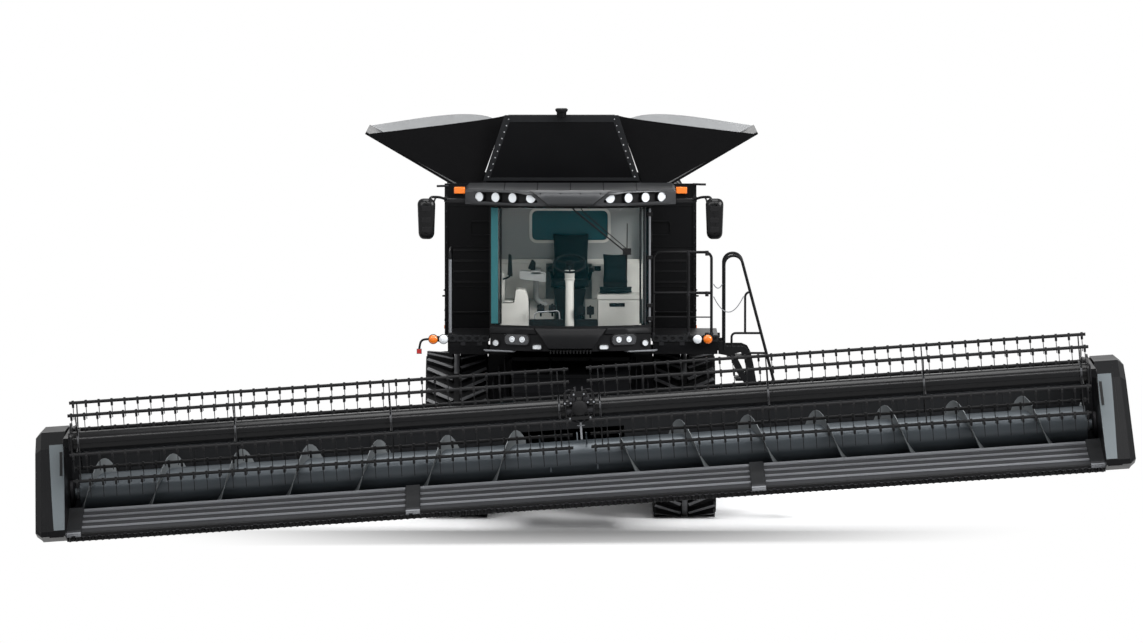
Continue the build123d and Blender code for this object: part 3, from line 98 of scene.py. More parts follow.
def add_node(tree, kind, inputs, **settings):
    """A new shader node, with its settings made and its sockets filled."""
    node = tree.nodes.new("ShaderNode" + kind)
    for name, value in settings.items():
        setattr(node, name, value)
    feed(tree, node, inputs)
    return node


def dent(tree, height, strength, distance):
    """Roughens the surface by a height pattern."""
    bump = add_node(tree, "Bump", {"Strength": strength, "Distance": distance, "Height": height})
    feed(tree, tree.nodes["Principled BSDF"], {"Normal": bump.outputs["Normal"]})


def surface(name, colour, rough=0.5, metal=0.0, spec=0.5, scale=6.0, vary=0.1, bump=0.0, bump_scale=120.0):
    """A procedural finish: its tint and gloss drift over the surface, and a fine grain roughens it."""
    mat = bpy.data.materials.new(name)
    mat.use_nodes = True
    tree = mat.node_tree
    where = add_node(tree, "TexCoord", {}).outputs["Object"]
    drift = add_node(tree, "TexNoise", {"Scale": scale, "Detail": 5, "Vector": where}).outputs["Fac"]
    gloss = add_node(tree, "MapRange", {"To Min": max(0.02, rough - 0.07), "To Max": min(1, rough + 0.09),
                                        "Value": drift})
    dark, light = ((*[min(1, c * share) for c in colour], 1) for share in (1 - vary, 1 + vary))
    tint = add_node(tree, "Mix", {}, data_type="RGBA")
    feed(tree, tint, {"Factor": drift, "A": dark, "B": light})
    feed(tree, tree.nodes["Principled BSDF"], {
        "Metallic": metal, "Specular IOR Level": spec, "Roughness": gloss.outputs["Result"],
        "Base Color": tint.outputs["Result"]})
    if bump:
        grain = add_node(tree, "TexNoise", {"Scale": bump_scale, "Detail": 3, "Vector": where})
        dent(tree, grain.outputs["Fac"], bump, GRAIN_DEPTH)
    return mat


def woven(name, colour, rough, pitch):
    """A cloth with a fine square weave."""
    mat = surface(name, colour, rough, spec=0.06, scale=9)
    tree = mat.node_tree
    where = next(node for node in tree.nodes if node.type == "TEX_COORD").outputs["Object"]
    threads = [add_node(tree, "TexWave", {"Scale": 1 / pitch, "Vector": where}, bands_direction=way)
               for way in ("X", "Z")]
    weave = add_node(tree, "Math", {k: thread.outputs["Fac"] for k, thread in enumerate(threads)},
                     operation="MULTIPLY")
    dent(tree, weave.outputs[0], 0.4, WEAVE_DEPTH)
    return mat


def glass(name, colour, alpha):
    """Tinted glass, clear enough to see the cab's inside."""
    mat = surface(name, colour, 0.03, spec=0.12, vary=0.04, scale=2)
    feed(mat.node_tree, mat.node_tree.nodes["Principled BSDF"], {"Alpha": alpha})
    return mat


def lamp(name, colour, glow):
    """A bright lamp glass with a ribbed inside."""
    mat = surface(name, colour, 0.12, spec=0.6, vary=0.08, scale=60, bump=0.5, bump_scale=90)
    feed(mat.node_tree, mat.node_tree.nodes["Principled BSDF"],
         {"Emission Color": (*colour, 1), "Emission Strength": glow})
    return mat


# kind, colour, roughness (a glass's alpha, a lamp's glow), and what else differs from the usual
FINISHES = {
    "black_paint": (surface, (0.0032, 0.0033, 0.0037), 0.34, dict(spec=0.07, scale=2.5, bump=0.05)),
    "satin_black": (surface, (0.0055, 0.0056, 0.0062), 0.42, dict(spec=0.1, bump=0.12)),
    "gloss_black": (surface, (0.004, 0.0041, 0.0045), 0.2, dict(spec=0.16, scale=2, bump=0.03)),
    "dark_grey_paint": (surface, (0.0095, 0.01, 0.011), 0.42, dict(spec=0.12, bump=0.08)),
    "blue_grey_paint": (surface, (0.045, 0.053, 0.06), 0.32, dict(metal=0.35, spec=0.3, scale=3, bump=0.06)),
    "flight_grey": (surface, (0.12, 0.13, 0.135), 0.4, dict(metal=0.2, spec=0.3, scale=5, bump=0.08)),
    "end_grey": (surface, (0.065, 0.076, 0.082), 0.42, dict(spec=0.2, scale=3, bump=0.06)),
    "cast": (surface, (0.009, 0.009, 0.0105), 0.55, dict(metal=0.1, spec=0.16, bump=0.5, bump_scale=60)),
    "steel": (surface, (0.42, 0.43, 0.45), 0.32, dict(metal=1.0, bump=0.06)),
    "dark_steel": (surface, (0.05, 0.051, 0.054), 0.4, dict(metal=0.7, spec=0.3, bump=0.1)),
    "track_rubber": (surface, (0.006, 0.006, 0.0065), 0.62, dict(spec=0.12, bump=0.35, bump_scale=45)),
    # lighter grey of the tracks' bar faces: painted light on the bars' tops against the shaded belt
    "lug_face": (surface, (0.075, 0.076, 0.08), 0.42,
                 dict(spec=0.3, scale=14, vary=0.25, bump=0.35, bump_scale=45)),
    "tyre": (surface, (0.008, 0.008, 0.0085), 0.78, dict(spec=0.15, bump=0.4, bump_scale=45)),
    "beige_plastic": (surface, (0.72, 0.71, 0.66), 0.55, dict(spec=0.25, bump=0.25, bump_scale=260)),
    "trim_grey": (surface, (0.36, 0.37, 0.36), 0.65, dict(spec=0.2, bump=0.3, bump_scale=220)),
    "seat_fabric": (woven, (0.010, 0.016, 0.018), 0.82, dict(pitch=0.006)),
    "black_plastic": (surface, (0.006, 0.006, 0.0065), 0.5, dict(spec=0.12, bump=0.4, bump_scale=200)),
    "visor_grey": (surface, (0.028, 0.029, 0.031), 0.3, dict(metal=0.3, spec=0.3, scale=3)),
    "cover_fabric": (woven, (0.0022, 0.0022, 0.0025), 0.8, dict(pitch=0.004)),
    "pale_fabric": (woven, (0.27, 0.275, 0.28), 0.75, dict(pitch=0.004)),
    "belt": (surface, (0.019, 0.0195, 0.0215), 0.6, dict(spec=0.15, bump=0.4, bump_scale=70)),
    "slat": (surface, (0.135, 0.14, 0.15), 0.5, dict(spec=0.25, bump=0.1)),
    "amber_plastic": (lamp, (0.6, 0.13, 0.008), 0.02, {}),
    "lamp_lens": (lamp, (0.5, 0.52, 0.54), 0.1, {}),
    "smoked_lens": (lamp, (0.03, 0.031, 0.034), 0.0, {}),
    "red_plastic": (lamp, (0.3, 0.008, 0.008), 0.01, {}),
    "mirror_glass": (surface, (0.75, 0.77, 0.8), 0.04, dict(metal=1.0)),
    "glass": (glass, (0.004, 0.03, 0.036), 0.09, {}),
    "side_glass": (glass, (0.008, 0.10, 0.115), 0.5, {}),
    "teal_glass": (glass, (0.03, 0.13, 0.145), 0.85, {}),
    "rear_tint": (glass, (0.015, 0.10, 0.12), 0.9, {}),
}
MATS = {name: make(name, colour, rough, **more) for name, (make, colour, rough, more) in FINISHES.items()}
SLOTS = {entry["node"]: entry["material_slot"] for entry in frame["record"]["subparts"]}
# CAD nodes whose finish isn't that of their slot
NODE_FINISH = {
    "cab_roof": "visor_grey", "reel_tube": "gloss_black", "header_deck": "belt", "cab_glass": "side_glass",
    "end_panels": "black_paint", "end_covers": "black_paint", "cutterbar": "black_plastic",
    "reel_bats": "black_plastic", "guard_rails": "satin_black", "header_frame": "dark_grey_paint",
    "auger_flights": "flight_grey",
}
for name, obj in NODES.items():
    obj.data.materials.clear()
    obj.data.materials.append(MATS[NODE_FINISH.get(name, SLOTS[name])])


# ---------------------------------------------------------------- mesh helpers
SIDES = (-1, 1)
SMOOTH_BELOW = math.radians(38)
BEVEL_ABOVE = math.radians(40)
BEND_STEPS = 5
OBLONG_STEPS = 4
OUTLINE_STEPS = 3
# where an outline's two coordinates and the third one go
PUT = {"x": lambda a, b, c: (c, a, b), "y": lambda a, b, c: (a, c, b), "z": lambda a, b, c: (a, b, c)}


def spread(first, last, count):
    """Evenly spaced values, ends included."""
    return [first + (last - first) * index / (count - 1) for index in range(count)]


def turns(count, start=0):
    """Angles that divide a full turn, counted from start steps."""
    return [2 * math.pi * (k + start) / count for k in range(count)]


def circle(centre, side, up, radius, sides):
    """Points round centre in the plane of side and up."""
    return [tuple(centre + (side * math.cos(turn) + up * math.sin(turn)) * radius) for turn in turns(sides)]


def new_object(mesh, name, finishes):
    """The object of a finished mesh, which is freed."""
    data = bpy.data.meshes.new(name)
    mesh.to_mesh(data)
    mesh.free()
    for finish in finishes:
        data.materials.append(MATS[finish])
    obj = bpy.data.objects.new(name, data)
    bpy.context.collection.objects.link(obj)
    return obj


class Shape:
    """Gathers the faces of one piece, whose points go through place, the part's own coordinates."""

    def __init__(self, place=M):
        self.mesh = bmesh.new()
        self.place = place
        self.finishes = []
        self.finish = 0

    def use(self, finish):
        if finish not in self.finishes:
            self.finishes.append(finish)
        self.finish = self.finishes.index(finish)
        return self

    def faces(self, points, loops):
        corners = [self.mesh.verts.new(self.place(*point)) for point in points]
        for loop in loops:
            face = self.mesh.faces.new([corners[index] for index in loop])
            face.material_index = self.finish
        return self

    def slab(self, xs, ys, zs):
        points = [(x, y, z) for z in sorted(zs) for y in sorted(ys) for x in sorted(xs)]
        return self.faces(points,
                          [(0, 2, 3, 1), (4, 5, 7, 6), (0, 1, 5, 4), (2, 6, 7, 3), (0, 4, 6, 2),
                           (1, 3, 7, 5)])

    def rings(self, rings, caps=True):
        """Joins rings of as many points each."""
        count = len(rings[0])
        points = [point for ring in rings for point in ring]
        loops = []
        for row in range(len(rings) - 1):
            for index in range(count):
                after = (index + 1) % count
                loops.append((row * count + index, row * count + after, (row + 1) * count + after,
                              (row + 1) * count + index))
        if caps:
            loops.append(tuple(range(count - 1, -1, -1)))
            loops.append(tuple((len(rings) - 1) * count + index for index in range(count)))
        return self.faces(points, loops)

    def prism(self, outline, span, axis):
        """An outline of two coordinates, drawn out along axis: x, y or z."""
        return self.rings([[PUT[axis](a, b, c) for a, b in outline] for c in span])

    def soft_prism(self, outline, corner, span, axis):
        """A prism whose outline has rounded corners."""
        return self.prism(rounded_outline(outline, corner), span, axis)

    def ovals(self, centre, axis, sections, caps=True):
        """Joins rounded rectangles about centre: place on axis, half width, half height, corner."""
        a, b = centre
        return self.rings([[PUT[axis](a + p, b + q, c) for p, q in oblong(*size)] for c, *size in sections],
                          caps)

    def rod(self, points, radius, sides=10, bend=0.0, radii=None):
        """A round bar along points, with its corners rounded by bend."""
        points = rounded([Vector(point) for point in points], bend)
        rings, side = [], None
        for index, point in enumerate(points):
            ahead = points[min(index + 1, len(points) - 1)] - points[max(index - 1, 0)]
            ahead.normalize()
            if side is None:
                side = ahead.orthogonal().normalized()
            side = (side - ahead * side.dot(ahead)).normalized()
            up = ahead.cross(side)
            rings.append(circle(point, side, up, radii[index] if radii else radius, sides))
        return self.rings(rings)

    def turned(self, profile, centre, axis, sides=24):
        """A profile of (distance along axis, radius) turned about axis through centre."""
        centre, axis = Vector(centre), Vector(axis).normalized()
        side = axis.orthogonal().normalized()
        up = axis.cross(side)
        return self.rings([circle(centre + axis * along, side, up, max(radius, 0.0005), sides)
                           for along, radius in profile])

    def sheet(self, rows, thick):
        """A grid of points made into a thin plate, thickened along the local y or z as given by thick."""
        thick = Vector(thick)
        count = len(rows[0])
        front = [point for row in rows for point in row]
        back = [tuple(Vector(point) + thick) for point in front]
        total = len(front)
        loops = []
        for r in range(len(rows) - 1):
            for c in range(count - 1):
                a, b, d, e = r * count + c, r * count + c + 1, (r + 1) * count + c + 1, (r + 1) * count + c
                loops += [(a, b, d, e), (total + e, total + d, total + b, total + a)]
        border = ([c for c in range(count)] + [r * count + count - 1 for r in range(1, len(rows))]
                  + [(len(rows) - 1) * count + c for c in range(count - 2, -1, -1)]
                  + [r * count for r in range(len(rows) - 2, 0, -1)])
        for index, a in enumerate(border):
            b = border[(index + 1) % len(border)]
            loops.append((b, a, total + a, total + b))
        return self.faces(front + back, loops)

    def done(self, name, body, bevel=0.0, stands_for=(), slot=None):
        """Makes the object and lets it ride on its body."""
        bmesh.ops.recalc_face_normals(self.mesh, faces=self.mesh.faces[:])
        for edge in self.mesh.edges:
            edge.smooth = len(edge.link_faces) == 2 and edge.calc_face_angle(0) < SMOOTH_BELOW
        for face in self.mesh.faces:
            face.smooth = True
        obj = new_object(self.mesh, name, self.finishes)
        if bevel:
            modifier = obj.modifiers.new("edges", "BEVEL")
            modifier.width = bevel
            modifier.segments = 2
            modifier.limit_method = "ANGLE"
            modifier.angle_limit = BEVEL_ABOVE
        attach(obj, body)
        if stands_for:
            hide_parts(*stands_for)
        return obj


def arc(before, corner, after, reach, steps):
    """The corner as an arc that begins and ends at reach from it."""
    start, end = corner + before.normalized() * reach, corner + after.normalized() * reach
    return [start * (1 - t) ** 2 + corner * 2 * t * (1 - t) + end * t ** 2
            for t in (step / steps for step in range(steps + 1))]


def rounded(points, bend):
    """The points with each inner corner turned into an arc."""
    if bend <= 0 or len(points) < 3:
        return points
    path = [points[0]]
    for before, corner, after in zip(points, points[1:], points[2:]):
        first, second = before - corner, after - corner
        path += arc(first, corner, second, min(bend, first.length * 0.49, second.length * 0.49), BEND_STEPS)
    return path + [points[-1]]


def rounded_outline(points, corner):
    """An outline with its corners rounded."""
    path = []
    for index in range(len(points)):
        before, at, after = (Vector(points[(index + step) % len(points)]) for step in (-1, 0, 1))
        first, second = before - at, after - at
        reach = min(corner, first.length * 0.45, second.length * 0.45)
        path += [tuple(point) for point in arc(first, at, second, reach, OUTLINE_STEPS)]
    return path


def oblong(half_w, half_h, corner):
    """A rounded rectangle about the origin."""
    points = []
    for cx, cy, first in ((1, 1, 0), (-1, 1, 90), (-1, -1, 180), (1, -1, 270)):
        for step in range(OBLONG_STEPS + 1):
            turn = math.radians(first + 90 * step / OBLONG_STEPS)
            points.append((cx * (half_w - corner) + corner * math.cos(turn),
                           cy * (half_h - corner) + corner * math.sin(turn)))
    return points


def bolts(shape, points, radius=0.011, reach=0.009, axis=(0, -1, 0)):
    """Hexagon heads at points."""
    for point in points:
        shape.turned([(-0.004, radius), (reach * 0.7, radius), (reach, radius * 0.8)], point, axis, 6)


# ---------------------------------------------------------------- stage
# The camera stands far off in front of the machine, a little above the level of its middle.
PICTURE_WIDTH = 1143
SENSOR = 36
CAMERA_DISTANCE = 100
CAMERA_ELEVATION = 4
PIXELS_PER_METRE = 84.7
AIM_X = 0.012
AIM_Z = 2.39
FRONT_Y = Y0 - 1
FLOOR_SIZE = 900
FLOOR_COLOUR = (0.93, 0.93, 0.935, 1)
# the floor keeps its shadow inside an ellipse of these half axes, and fades to white from 0.3 to 1.05 of it
FADE_AXES = (6.0, 8.5)
FADE_FROM, FADE_TO = 0.3, 1.05
WORLD_COLOUR = (0.97, 0.985, 1, 1)
WORLD_STRENGTH = 0.55
LIGHT_AIM = Vector((0, 0, 1.5))
# place, width, height, watts
SOFTBOXES = (
    ((-15, -20, 14), 9, 9, 1300),
    ((17, -15, 13), 9, 9, 5000),
    ((0, -6, 19), 12, 12, 3600),
    ((0, -25, 19), 26, 3.5, 3600),
    ((0, 24, 12), 12, 12, 500),
)


def add_camera():
    """A long lens, far off, so that the perspective is nearly flat."""
    header_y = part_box("cutterbar")[0][1] + 1
    rise = math.radians(CAMERA_ELEVATION)
    aim = Vector((X0 + AIM_X, FRONT_Y, AIM_Z))
    back = Vector((0, -math.cos(rise), math.sin(rise)))
    distance = CAMERA_DISTANCE + (FRONT_Y - header_y)
    data = bpy.data.cameras.new("camera")
    data.sensor_width = SENSOR
    data.lens = SENSOR * CAMERA_DISTANCE * PIXELS_PER_METRE / PICTURE_WIDTH
    data.clip_end = 600
    camera = bpy.data.objects.new("camera", data)
    camera.location = aim + back * distance
    camera.rotation_euler = (math.pi / 2 - rise, 0, 0)
    bpy.context.collection.objects.link(camera)
    bpy.context.scene.camera = camera


def seen_ray(tree):
    """A value of 1 for rays from the camera, a mirror or through glass."""
    path = add_node(tree, "LightPath", {})
    total = path.outputs["Is Camera Ray"]
    for name in ("Is Glossy Ray", "Is Transmission Ray"):
        both = {0: total, 1: path.outputs[name]}
        total = add_node(tree, "Math", both, operation="ADD", use_clamp=True).outputs[0]
    return total


def add_floor():
    """A pale floor that keeps the shadow near the machine and runs out into white."""
    bpy.ops.mesh.primitive_plane_add(size=FLOOR_SIZE, location=(0, 150, 0))
    floor = bpy.context.object
    floor.name = "floor"
    mat = bpy.data.materials.new("floor")
    mat.use_nodes = True
    tree = mat.node_tree
    shader = tree.nodes["Principled BSDF"]
    feed(tree, shader, {"Base Color": FLOOR_COLOUR, "Roughness": 0.9, "Specular IOR Level": 0.0})
    place = add_node(tree, "NewGeometry", {}).outputs["Position"]
    scale = add_node(tree, "VectorMath", {0: place, 1: (1 / FADE_AXES[0], 1 / FADE_AXES[1], 0)},
                     operation="MULTIPLY")
    far = add_node(tree, "VectorMath", {0: scale.outputs["Vector"]}, operation="LENGTH")
    fade = add_node(tree, "MapRange",
                    {"From Min": FADE_FROM, "From Max": FADE_TO, "Value": far.outputs["Value"]},
                    interpolation_type="SMOOTHSTEP")
    share = add_node(tree, "Math", {0: fade.outputs["Result"], 1: seen_ray(tree)}, operation="MULTIPLY")
    white = add_node(tree, "Emission", {})
    mix = add_node(tree, "MixShader", {"Fac": share.outputs[0], 1: shader.outputs["BSDF"],
                                       2: white.outputs["Emission"]})
    feed(tree, tree.nodes["Material Output"], {"Surface": mix.outputs["Shader"]})
    floor.data.materials.append(mat)


def add_light():
    """An even studio: a soft world and large soft boxes."""
    world = bpy.data.worlds.new("world")
    bpy.context.scene.world = world
    world.use_nodes = True
    tree = world.node_tree
    soft = tree.nodes["Background"]
    feed(tree, soft, {"Color": WORLD_COLOUR, "Strength": WORLD_STRENGTH})
    white = add_node(tree, "Background", {"Strength": 1})
    mix = add_node(tree, "MixShader", {"Fac": seen_ray(tree), 1: soft.outputs["Background"],
                                       2: white.outputs["Background"]})
    feed(tree, tree.nodes["World Output"], {"Surface": mix.outputs["Shader"]})
    for place, width, height, power in SOFTBOXES:
        light = bpy.data.lights.new("softbox", "AREA")
        light.shape = "RECTANGLE"
        light.size = width
        light.size_y = height
        light.energy = power
        box = bpy.data.objects.new("softbox", light)
        box.location = place
        box.rotation_euler = (LIGHT_AIM - Vector(place)).to_track_quat("-Z", "Y").to_euler()
        bpy.context.collection.objects.link(box)


# ---------------------------------------------------------------- cab outside
CAB_HALF = 0.97
PILLAR_Y = -1.44
BOW = 0.3
bow_radius = (CAB_HALF ** 2 + BOW ** 2) / (2 * BOW)


def bow_y(x, grow=0.0):
    """How far forward the cab's bowed front lies at x."""
    return PILLAR_Y - grow - (math.sqrt(bow_radius ** 2 - x * x) - (bow_radius - BOW))


def roof_y(x):
    """How far forward the roof's front edge lies at x."""
    x = abs(x)
    for (x0, y0), (x1, y1) in (((0, -1.96), (0.36, -1.96)), ((0.36, -1.96), (0.62, -1.9)),
                               ((0.62, -1.9), (1.27, -1.5))):
        if x <= x1:
            return y0 + (y1 - y0) * (x - x0) / (x1 - x0)
    return -1.5


def visor():
    """The roof's front: side wings round the lamps, and a raised middle."""
    shape = Shape().use("visor_grey")
    for side in SIDES:
        outer = [(0.3, 3.86), (0.3, 4.0), (0.56, 4.02), (1.1, 4.015), (1.255, 3.985), (1.255, 3.9),
                 (1.14, 3.862), (0.7, 3.852)]
        inner = [(0.37, 3.885), (0.47, 3.97), (0.66, 4.0), (0.98, 4.0), (1.12, 3.995), (1.165, 3.94),
                 (1.11, 3.885), (0.7, 3.872)]
        rings = []
        for ring, proud in ((outer, 0.0), (outer, 0.012), (inner, 0.012), (inner, -0.05)):
            rings.append([(side * x, roof_y(x) - proud, z) for x, z in ring])
        shape.rings(rings, caps=False)
    rows = []
    for z, half, proud in ((4.034, 0.5, -0.05), (4.02, 0.47, 0.008), (3.99, 0.43, 0.03), (3.88, 0.29, 0.04),
                           (3.856, 0.27, 0.025), (3.85, 0.27, -0.06)):
        rows.append([(x, roof_y(x) - proud, z) for x in spread(-half, half, 9)])
    shape.sheet(rows, (0, 0.02, 0))
    shape.use("black_plastic")
    bolts(shape, [(x, roof_y(x) - 0.03, 4.0) for x in (-0.36, -0.12, 0.12, 0.36)], 0.009, 0.006)
    for side in SIDES:
        shape.rod([(side * 0.46, roof_y(0.46) - 0.012, 4.015), (side * 0.43, roof_y(0.43) - 0.03, 3.99),
                   (side * 0.29, roof_y(0.29) - 0.04, 3.88),
                   (side * 0.27, roof_y(0.27) - 0.024, 3.857)], 0.006, 6)
    for side in SIDES:
        shape.sheet([[(side * x, roof_y(x) - proud, z) for x in spread(0.2, 1.2, 12)]
                     for z, proud in ((3.868, -0.03), (3.852, 0.004), (3.838, -0.06))], (0, 0.012, 0))
    shape.done("visor", "machine", 0.004, slot="dark_grey_paint")
    liner = Shape().use("black_plastic")
    for side in SIDES:
        for x0, x1 in ((0.405, 0.62), (0.62, 1.155)):
            y0 = -1.895 if x0 < 0.5 else -1.84
            y1 = -1.84 if x0 < 0.5 else -1.515
            liner.rings([[(side * x0, y0 - d, 3.873), (side * x1, y1 - d, 3.873),
                          (side * x1, y1 - d, 4.003), (side * x0, y0 - d, 4.003)] for d in (0.004, 0.001)])
        for x in (0.467, 0.676, 0.881, 1.078):
            slope = (0.055 / 0.22) if x < 0.62 else (0.325 / 0.54)
            y = -1.895 + (x - 0.4) * slope if x < 0.62 else -1.84 + (x - 0.62) * slope
            ahead = Vector((side * slope, -1, 0)).normalized()
            centre = Vector((side * x, y, 3.938))
            liner.turned([(0.001, 0.071), (0.03, 0.071), (0.05, 0.066), (0.05, 0.0585), (0.0405, 0.0582),
                          (0.001, 0.0582)],
                         centre, ahead, 24)
    liner.done("lamp_pods", "machine", 0.0015, slot="black_plastic")


def nose():
    """The nose's middle panel, lamp bezels, handles and the grille under it."""
    shape = Shape().use("satin_black")
    rows = []
    for z, half, proud in ((2.362, 0.43, 0.072), (2.34, 0.42, 0.098), (2.25, 0.35, 0.118), (2.12, 0.27, 0.11),
                           (2.1, 0.26, 0.078)):
        rows.append([(x, bow_y(x, proud), z) for x in spread(-half, half, 11)])
    shape.sheet(rows, (0, 0.02, 0))
    for side in SIDES:
        rows = []
        for z, first, last, proud in ((2.366, 0.45, 0.97, 0.072), (2.345, 0.44, 0.975, 0.09),
                                      (2.292, 0.41, 0.975, 0.09),
                                      (2.283, 0.41, 0.972, 0.074)):
            rows.append([(side * x, bow_y(min(x, 0.969), proud), z) for x in spread(first, last, 9)])
        shape.sheet(rows, (0, 0.015, 0))
    shape.use("black_plastic")
    for side in SIDES:
        for x, z, half_w, half_h in ((0.648, 2.22, 0.142, 0.058), (0.905, 2.172, 0.036, 0.036),
                                     (0.405, 2.136, 0.052, 0.026)):
            corner = min(half_w, half_h) * (0.98 if half_w == half_h else 0.7)
            rings = []
            for grow, proud in ((0.016, 0.07), (0.016, 0.09), (0.001, 0.092), (0.001, 0.07)):
                rings.append([(side * (x + px), bow_y(min(x + px, 0.969), proud), z + pz)
                              for px, pz in oblong(half_w + grow, half_h + grow, corner + grow)])
            shape.rings(rings, caps=False)
    for x in spread(-0.24, 0.24, 13):
        shape.slab((x - 0.009, x + 0.009), (bow_y(x, 0.085), bow_y(x, 0.04)), (2.055, 2.1))
    shape.use("slat")
    for side in SIDES:
        shape.rod([(side * 0.66, -1.5, 2.07), (side * 0.68, -1.66, 2.075), (side * 1.02, -1.5, 2.075),
                   (side * 1.04, -1.36, 2.07)],
                  0.012, 8, 0.05)
    shape.done("nose_trim", "machine", 0.003, slot="black_plastic")
    lens = Shape().use("smoked_lens")
    for side in SIDES:
        lens.rings([[(side * (0.648 + px), bow_y(0.648 + px, proud), 2.22 + pz) for px,
                     pz in oblong(0.14, 0.056, 0.036)]
                    for proud in (0.06, 0.0862)])
    lens.use("lamp_lens")
    for side in SIDES:
        for dx, radius in ((-0.066, 0.036), (0.056, 0.036)):
            x = 0.648 + dx
            ahead = (side * 0.5, -1, 0)
            centre = (side * x, bow_y(x, 0.085), 2.222)
            lens.turned([(0.0, radius), (0.008, radius), (0.011, radius * 0.86), (0.006, radius * 0.8)],
                        centre, ahead, 20)
            lens.turned([(0.0, radius * 0.42), (0.01, radius * 0.4), (0.014, radius * 0.2)], centre, ahead,
                        14)
    lens.done("headlamps", "machine", 0.001, slot="lamp_lens")


def cab_outside():
    """Pillars, seals, hinges and the wiper."""
    shape = Shape().use("black_plastic")
    for side in SIDES:
        shape.sheet([[(side * x, bow_y(min(x, 0.969), 0.009), z) for x in spread(0.945, 0.975, 3)]
                     for z in spread(2.372, 3.83, 4)],
                    (0, 0.012, 0))
        shape.sheet([[(side * x, bow_y(x, 0.002), z) for x in spread(0.83, 0.855, 3)]
                     for z in spread(2.4, 3.81, 4)],
                    (0, 0.01, 0))
    for z0, z1 in ((2.365, 2.385), (3.815, 3.838)):
        shape.sheet([[(x, bow_y(x, 0.009), z) for x in spread(-0.96, 0.96, 17)] for z in (z0, z1)],
                    (0, 0.01, 0))
    shape.rod([(0.02, bow_y(0.02, 0.03), 3.82), (0.05, bow_y(0.05, 0.05), 3.78),
               (0.67, bow_y(0.67, 0.045), 3.27)], 0.009, 8, 0.03)
    shape.rod([(0.12, bow_y(0.12, 0.03), 3.82), (0.15, bow_y(0.15, 0.05), 3.77),
               (0.69, bow_y(0.69, 0.045), 3.3)], 0.006, 6, 0.03)
    shape.slab((0.63, 0.73), (bow_y(0.68, 0.055), bow_y(0.68, 0.03)), (3.24, 3.32))
    shape.rod([(0.685, bow_y(0.685, 0.028), 3.62), (0.675, bow_y(0.675, 0.028), 2.95)], 0.007, 6)
    # light grey rod on the right front pillar: a painted highlight standing for its chrome-like sheen
    shape.use("slat")
    shape.rod([(0.955, bow_y(0.955, 0.03), 2.42), (0.955, bow_y(0.955, 0.03), 3.79)], 0.013, 10)
    shape.use("black_plastic")
    for z in (2.46, 2.62, 3.2, 3.72):
        shape.slab((0.925, 0.99), (-1.5, -1.44), (z - 0.022, z + 0.022))
    shape.use("visor_grey")
    shape.rod([(0.9, bow_y(0.9, 0.012), 2.4), (0.9, bow_y(0.9, 0.012), 3.81)], 0.009, 8)
    shape.use("teal_glass")
    shape.sheet([[(x, bow_y(x, 0.013), z) for x in spread(-0.958, -0.875, 4)] for z in spread(2.4, 3.8, 4)],
                (0, 0.002, 0))
    shape.done("cab_trim_outside", "machine", 0.002, slot="black_plastic")


